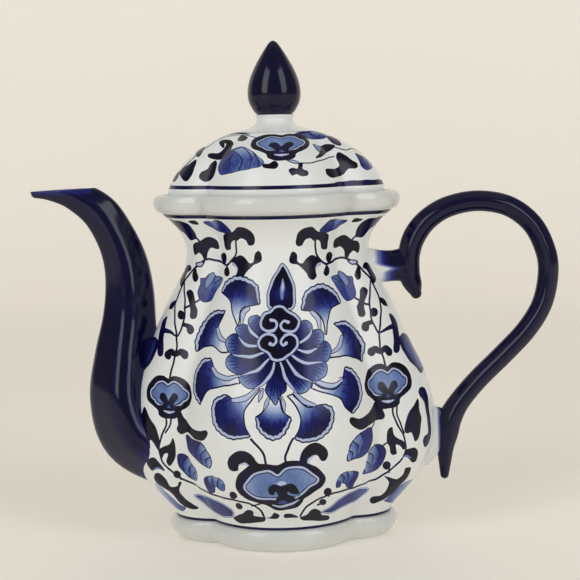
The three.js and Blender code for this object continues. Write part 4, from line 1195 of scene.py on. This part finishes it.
def spout_piece(material):
    points, faces = bent_bar(SPOUT_STATIONS, 0, 8, 96, 16, 0.5)
    piece = cutter("pot_spout", points, faces)
    bore = bent_bar(SPOUT_STATIONS[:-1] + [SPOUT_BORE_END], SPOUT_WALL, 8, 48, 8, 0.5)
    tools = [cutter("bore", *bore), body_block(SPOUT_ROOT_DEPTH)]
    corners = np.array([(x, y, z) for x, rise in MOUTH_CUT
                        for y in (-30, 30) for z in (MOUTH_Z + rise, MOUTH_Z + 30)], float)
    box = np.array([(0, 1, 3), (0, 3, 2), (4, 6, 7), (4, 7, 5), (0, 4, 5), (0, 5, 1),
                    (2, 3, 7), (2, 7, 6), (0, 2, 6), (0, 6, 4), (1, 5, 7), (1, 7, 3)])
    tools.append(cutter("mouth", corners, box))
    carve(piece, tools, 0.55, 3)
    mesh = piece.data
    placed = np.empty(len(mesh.vertices) * 3)
    mesh.vertices.foreach_get("co", placed)
    placed = placed.reshape(-1, 3) / MM - [AXIS_X, 0, 0]
    smooth = spline(SPOUT_STATIONS, 8)
    nearest = nearest_station(placed[:, [0, 2]], smooth[:, :2])
    centre = smooth[nearest]
    ahead = np.gradient(smooth[:, :2], axis=0)[nearest]
    ahead = ahead / np.linalg.norm(ahead, axis=1, keepdims=True)
    away = placed[:, [0, 2]] - centre[:, :2]
    across = (away * np.stack([-ahead[:, 1], ahead[:, 0]], 1)).sum(1) / centre[:, 2]
    deep = placed[:, 1] / centre[:, 3]
    size = np.hypot(across, deep)
    inside_bore = smoothstep(-size, -0.86, -0.8)
    lip = smoothstep(placed[:, 2], MOUTH_Z - 3.0, MOUTH_Z - 0.2) * (placed[:, 0] < -84)
    # Lighter lines along the facet edges: partly cobalt glaze running thin on the edges, partly a painted
    # highlight where the smoothed facets no longer catch the light.
    ridge_glaze_and_highlight = np.exp(-((np.abs(across) - 0.23) / 0.05) ** 2) + np.exp(-((np.abs(across) - 0.97) / 0.05) ** 2)
    phi = np.arctan2(placed[:, 1], placed[:, 0])
    skin = np.interp(placed[:, 2], BODY_PROFILE[:, 1], BODY_PROFILE[:, 0]) * lobed(phi, 0.14)
    above = np.hypot(placed[:, 0], placed[:, 1]) - skin
    root = np.exp(-((above / 2.2) ** 2))
    paint = 0.98 - 0.12 * ridge_glaze_and_highlight - 0.22 * lip - 0.16 * root
    paint = paint * (1 - inside_bore * (placed[:, 2] < MOUTH_Z - 2))
    attribute = mesh.attributes.new("paint", "FLOAT", "POINT")
    attribute.data.foreach_set("value", paint.astype(np.float32))
    mesh.materials.clear()
    mesh.materials.append(material)
    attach(piece, "pot")
    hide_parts("spout")
    return piece


def handle_piece(material):
    stations = [(x, z, w, w * HANDLE_DEPTH) for x, z, w in HANDLE_STATIONS]
    points, faces = bent_bar(stations, 0, 8, 48, 11)
    return make_piece("pot_handle", points, faces, material, "pot", ["handle_loop"],
                      np.full(faces.shape, 0.97))


def stub_paint(points):
    """Cobalt that runs out towards the pot in two soft lobes."""
    x, z = points[:, 0], points[:, 2]
    start = 43 + 3.6 * smoothstep(-z, -126, -120) + 4.5 * np.exp(-(((z - 122.8) / 1.2) ** 2))
    return 0.97 * smoothstep(x, start, start + 9) ** 0.7


def pad_paint(points):
    """White beside the pot, cobalt under the handle."""
    return 0.97 * smoothstep(points[:, 0], 71.4, 74.4)


def joint_piece(name, node_name, stations, paint, material):
    points, faces = bent_bar(stations, 0, 12, 64, 5, 0.05)
    return make_piece(name, points, faces, material, "pot", [node_name], paint(points)[faces])


# ---- Materials --------------------------------------------------------------------------------------

def linear(r, g, b):
    return tuple(c / 12.92 if c <= 0.04045 else ((c + 0.055) / 1.055) ** 2.4 for c in (r, g, b)) + (1.0,)


def node(tree, kind, **values):
    made = tree.nodes.new(kind)
    for key, value in values.items():
        setattr(made, key, value)
    return made


def ramp(tree, stops):
    made = node(tree, "ShaderNodeValToRGB")
    elements = made.color_ramp.elements
    while len(elements) < len(stops):
        elements.new(0.5)
    for element, (at, colour) in zip(elements, stops):
        element.position = at
        element.color = colour
    return made


def new_material(name, roughness, coat=0.6):
    material = bpy.data.materials.new(name)
    material.use_nodes = True
    tree = material.node_tree
    shader = tree.nodes["Principled BSDF"]
    shader.inputs["Roughness"].default_value = roughness
    shader.inputs["IOR"].default_value = 1.52
    shader.inputs["Coat Weight"].default_value = coat
    shader.inputs["Coat Roughness"].default_value = 0.04
    return material, tree, shader


def noise(tree, scale, detail=3.0, coordinates=None):
    made = node(tree, "ShaderNodeTexNoise")
    made.inputs["Scale"].default_value = scale
    made.inputs["Detail"].default_value = detail
    if coordinates is None:
        coordinates = node(tree, "ShaderNodeTexCoord").outputs["Object"]
    tree.links.new(coordinates, made.inputs["Vector"])
    return made.outputs["Fac"]


def maths(tree, operation, a, b):
    made = node(tree, "ShaderNodeMath", operation=operation)
    for socket, value in zip(made.inputs, (a, b)):
        if isinstance(value, (int, float)):
            socket.default_value = value
        else:
            tree.links.new(value, socket)
    return made.outputs[0]


def glaze_bump(tree, shader, scale=260, strength=0.02):
    """The faint unevenness of a fired glaze."""
    bump = node(tree, "ShaderNodeBump")
    bump.inputs["Strength"].default_value = strength
    bump.inputs["Distance"].default_value = 0.001
    tree.links.new(noise(tree, scale, 2), bump.inputs["Height"])
    tree.links.new(bump.outputs["Normal"], shader.inputs["Normal"])


PAINT_STOPS = [
    (0.0, linear(0.945, 0.955, 0.95)),
    (0.06, linear(0.92, 0.93, 0.945)),
    (0.16, linear(0.73, 0.78, 0.91)),
    (0.36, linear(0.43, 0.53, 0.73)),
    (0.52, linear(0.21, 0.27, 0.57)),
    (0.66, linear(0.10, 0.12, 0.42)),
    (0.85, linear(0.05, 0.045, 0.25)),
    (1.0, linear(0.04, 0.03, 0.085)),
]


def painted_porcelain():
    """White glaze over brushed cobalt: the density on the mesh, worked up by uneven washes."""
    material, tree, shader = new_material("painted_porcelain", 0.19, 0.0)
    shader.inputs["Specular IOR Level"].default_value = 0.28
    paint = node(tree, "ShaderNodeAttribute", attribute_name="paint").outputs["Fac"]
    coordinates = node(tree, "ShaderNodeTexCoord").outputs["Object"]
    stretch = node(tree, "ShaderNodeMapping")
    stretch.inputs["Scale"].default_value = (1, 1, 0.45)
    tree.links.new(coordinates, stretch.inputs["Vector"])
    coarse = noise(tree, 130, 3, stretch.outputs["Vector"])
    streak = noise(tree, 620, 2, stretch.outputs["Vector"])
    uneven = maths(tree, "ADD", maths(tree, "MULTIPLY", coarse, 0.5), maths(tree, "MULTIPLY", streak, 0.35))
    factor = maths(tree, "ADD", uneven, 0.58)
    density = maths(tree, "MULTIPLY", paint, factor)
    colours = ramp(tree, PAINT_STOPS)
    tree.links.new(density, colours.inputs["Fac"])
    tree.links.new(colours.outputs["Color"], shader.inputs["Base Color"])
    glaze_bump(tree, shader)
    return material


# A darker copy of the body's white glaze. The porcelain is the same; the darker tone is painted shade on the
# foot, the rim, the lid ring and the strainer.
def white_porcelain():
    material, tree, shader = new_material("white_porcelain", 0.13, 0.0)
    clouds = noise(tree, 45, 3)
    colours = ramp(tree, [(0.3, linear(0.855, 0.865, 0.855)), (0.7, linear(0.88, 0.89, 0.875))])
    tree.links.new(clouds, colours.inputs["Fac"])
    tree.links.new(colours.outputs["Color"], shader.inputs["Base Color"])
    glaze_bump(tree, shader)
    return material


def cobalt_porcelain():
    """Thick cobalt glaze, almost black, bluer where it runs thin; on the spout's facet edges the lighter
    lines are partly a painted highlight.
    """
    material, tree, shader = new_material("cobalt_porcelain", 0.13, 0.0)
    shader.inputs["Specular IOR Level"].default_value = 0.3
    paint = node(tree, "ShaderNodeAttribute", attribute_name="paint").outputs["Fac"]
    patches = maths(tree, "MULTIPLY", noise(tree, 90, 3), 0.10)
    specks = node(tree, "ShaderNodeTexVoronoi", feature="F1")
    specks.inputs["Scale"].default_value = 420
    tree.links.new(node(tree, "ShaderNodeTexCoord").outputs["Object"], specks.inputs["Vector"])
    pinhole = maths(tree, "LESS_THAN", specks.outputs["Distance"], 0.05)
    density = maths(tree, "SUBTRACT", paint, patches)
    density = maths(tree, "SUBTRACT", density, maths(tree, "MULTIPLY", pinhole, 0.35))
    stops = [
        (0.0, linear(0.925, 0.935, 0.935)),
        (0.3, linear(0.45, 0.5, 0.72)),
        (0.6, linear(0.16, 0.18, 0.5)),
        (0.8, linear(0.08, 0.075, 0.29)),
        (0.92, linear(0.047, 0.04, 0.19)),
        (1.0, linear(0.032, 0.025, 0.11)),
    ]
    colours = ramp(tree, stops)
    tree.links.new(density, colours.inputs["Fac"])
    tree.links.new(colours.outputs["Color"], shader.inputs["Base Color"])
    glaze_bump(tree, shader, 180, 0.03)
    return material


def stage_material(name, colour, glow):
    """The pale paper of the sweep. It glows by itself, faintly near the pot and more where it lies far away:
    painted light, as if lamps lit the paper from behind.
    """
    material, tree, shader = new_material(name, 0.6, 0.0)
    shader.inputs["Emission Color"].default_value = linear(*colour)
    away = node(tree, "ShaderNodeVectorMath", operation="LENGTH")
    tree.links.new(node(tree, "ShaderNodeTexCoord").outputs["Object"], away.inputs[0])
    # Painted light: the sweep's own glow rises with distance from the pot.
    behind = node(tree, "ShaderNodeMapRange", interpolation_type="SMOOTHSTEP")
    for socket, value in (("From Min", 0.55), ("From Max", 1.9), ("To Min", 0.24), ("To Max", glow)):
        behind.inputs[socket].default_value = value
    tree.links.new(away.outputs["Value"], behind.inputs["Value"])
    tree.links.new(behind.outputs["Result"], shader.inputs["Emission Strength"])
    colours = ramp(tree, [(0.3, linear(*colour)), (0.7, linear(*(c * 0.99 for c in colour)))])
    tree.links.new(noise(tree, 3, 2), colours.inputs["Fac"])
    tree.links.new(colours.outputs["Color"], shader.inputs["Base Color"])
    return material


# ---- Stage, lights and camera -------------------------------------------------------------------------

CAMERA_OFFSET_X = 5.2
CAMERA_Y = -720
CAMERA_Z = 189.3
CAMERA_PITCH = 6.02
CAMERA_ROLL = -1.3
LENS = 97.6


def build_stage():
    """A pale sweep: a floor that curves up into a wall."""
    wall_y, bend, reach, height = 1700, 700, 3500, 2600
    profile = [(-3500, -0.2), (wall_y - bend, -0.2)]
    for i in range(1, 13):
        turn = math.pi / 2 * i / 12
        profile.append((wall_y - bend + bend * math.sin(turn), bend - bend * math.cos(turn) - 0.2))
    profile.append((wall_y, height))
    points = np.array([(x, y, z) for y, z in profile for x in (-reach, reach)], float)
    faces = [(2 * i, 2 * i + 1, 2 * i + 3, 2 * i + 2) for i in range(len(profile) - 1)]
    mesh = bpy.data.meshes.new("sweep")
    mesh.from_pydata((points * MM).tolist(), [], faces)
    mesh.shade_smooth()
    mesh.materials.append(stage_material("backdrop", (0.925, 0.905, 0.865), 0.5))
    sweep = bpy.data.objects.new("sweep", mesh)
    bpy.context.scene.collection.objects.link(sweep)
    sweep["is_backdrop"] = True


def area_light(name, place, target, size, watts, colour=(1, 1, 1)):
    light = bpy.data.lights.new(name, "AREA")
    light.shape = "RECTANGLE"
    light.size, light.size_y = size
    light.energy = watts
    light.color = colour
    lamp = bpy.data.objects.new(name, light)
    lamp.location = place
    lamp.rotation_euler = (Vector(target) - Vector(place)).to_track_quat("-Z", "Y").to_euler()
    bpy.context.scene.collection.objects.link(lamp)
    lamp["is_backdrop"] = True


def build_lights():
    middle = (0, 0, 0.11)
    area_light("left softbox", (-0.85, -0.95, 0.8), middle, (0.6, 1.25), 6.8, (0.97, 0.985, 1))
    area_light("right softbox", (0.9, -0.9, 0.8), middle, (0.6, 1.25), 6.4, (0.97, 0.985, 1))
    area_light("overhead", (0, 0.2, 1.4), middle, (1.5, 1.1), 1.3, (0.98, 0.99, 1))
    world = bpy.data.worlds.new("studio")
    world.use_nodes = True
    tree = world.node_tree
    background = tree.nodes["Background"]
    background.inputs["Color"].default_value = linear(0.95, 0.93, 0.895)
    # The room is dim, but it shows as pale paper past the edge of the sweep.
    seen = node(tree, "ShaderNodeLightPath").outputs["Is Camera Ray"]
    strength = maths(tree, "ADD", maths(tree, "MULTIPLY", seen, 0.62), 0.25)
    tree.links.new(strength, background.inputs["Strength"])
    bpy.context.scene.world = world


def build_camera():
    camera = bpy.data.cameras.new("camera")
    camera.sensor_width = 36
    camera.lens = LENS
    camera.clip_start = 0.01
    seen = bpy.data.objects.new("camera", camera)
    place = Vector((AXIS_X + CAMERA_OFFSET_X, CAMERA_Y, CAMERA_Z)) * MM
    turn = Matrix.Rotation(math.radians(90 - CAMERA_PITCH), 4, "X")
    roll = Matrix.Rotation(math.radians(CAMERA_ROLL), 4, "Z")
    seen.matrix_world = Matrix.Translation(place) @ turn @ roll
    bpy.context.scene.collection.objects.link(seen)
    bpy.context.scene.camera = seen


def build_pot():
    painted = painted_porcelain()
    white = white_porcelain()
    cobalt = cobalt_porcelain()
    body_piece(painted)
    lid_piece(painted)
    # The foot, the rim and the lid ring take the darker white, which is painted shade.
    turned_piece("pot_foot", FOOT_SECTION, True, white, "pot", ["foot_ring"], pot_groove)
    turned_piece("pot_rim", RIM_SECTION, True, white, "pot", ["rim_collar"], pot_groove)
    turned_piece("lid_ring", FLANGE_SECTION, True, white, "lid", ["lid_flange"], lid_groove)
    turned_piece("finial_foot", NECK_OUTLINE, False, painted, "lid", ["finial_neck"], lid_groove, 1.0, 72)
    bud = turned_piece("finial_top", BUD_OUTLINE, False, cobalt, "lid", ["finial_bud"], lid_groove, 1.0, 72)
    set_paint(bud, 0.99)
    spout_piece(cobalt)
    handle_piece(cobalt)
    joint_piece("pot_handle_stub", "handle_upper_stub", STUB_STATIONS, stub_paint, cobalt)
    joint_piece("pot_handle_pad", "handle_lower_pad", PAD_STATIONS, pad_paint, cobalt)
    # The strainer keeps its CAD shape, in the white glaze of the inside.
    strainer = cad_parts["spout_strainer"]
    strainer.data.materials.clear()
    strainer.data.materials.append(white)


def set_paint(piece, value):
    data = piece.data.attributes["paint"].data
    data.foreach_set("value", np.full(len(data), value, np.float32))


def write_sizes():
    def plain(box):
        return [[float(c) for c in corner] for corner in box]

    {"cad": plain(cad_box), "visual": plain(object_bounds())}


build_stage()
build_lights()
build_camera()
build_pot()
bpy.context.scene.view_settings.view_transform = "Standard"
write_sizes()
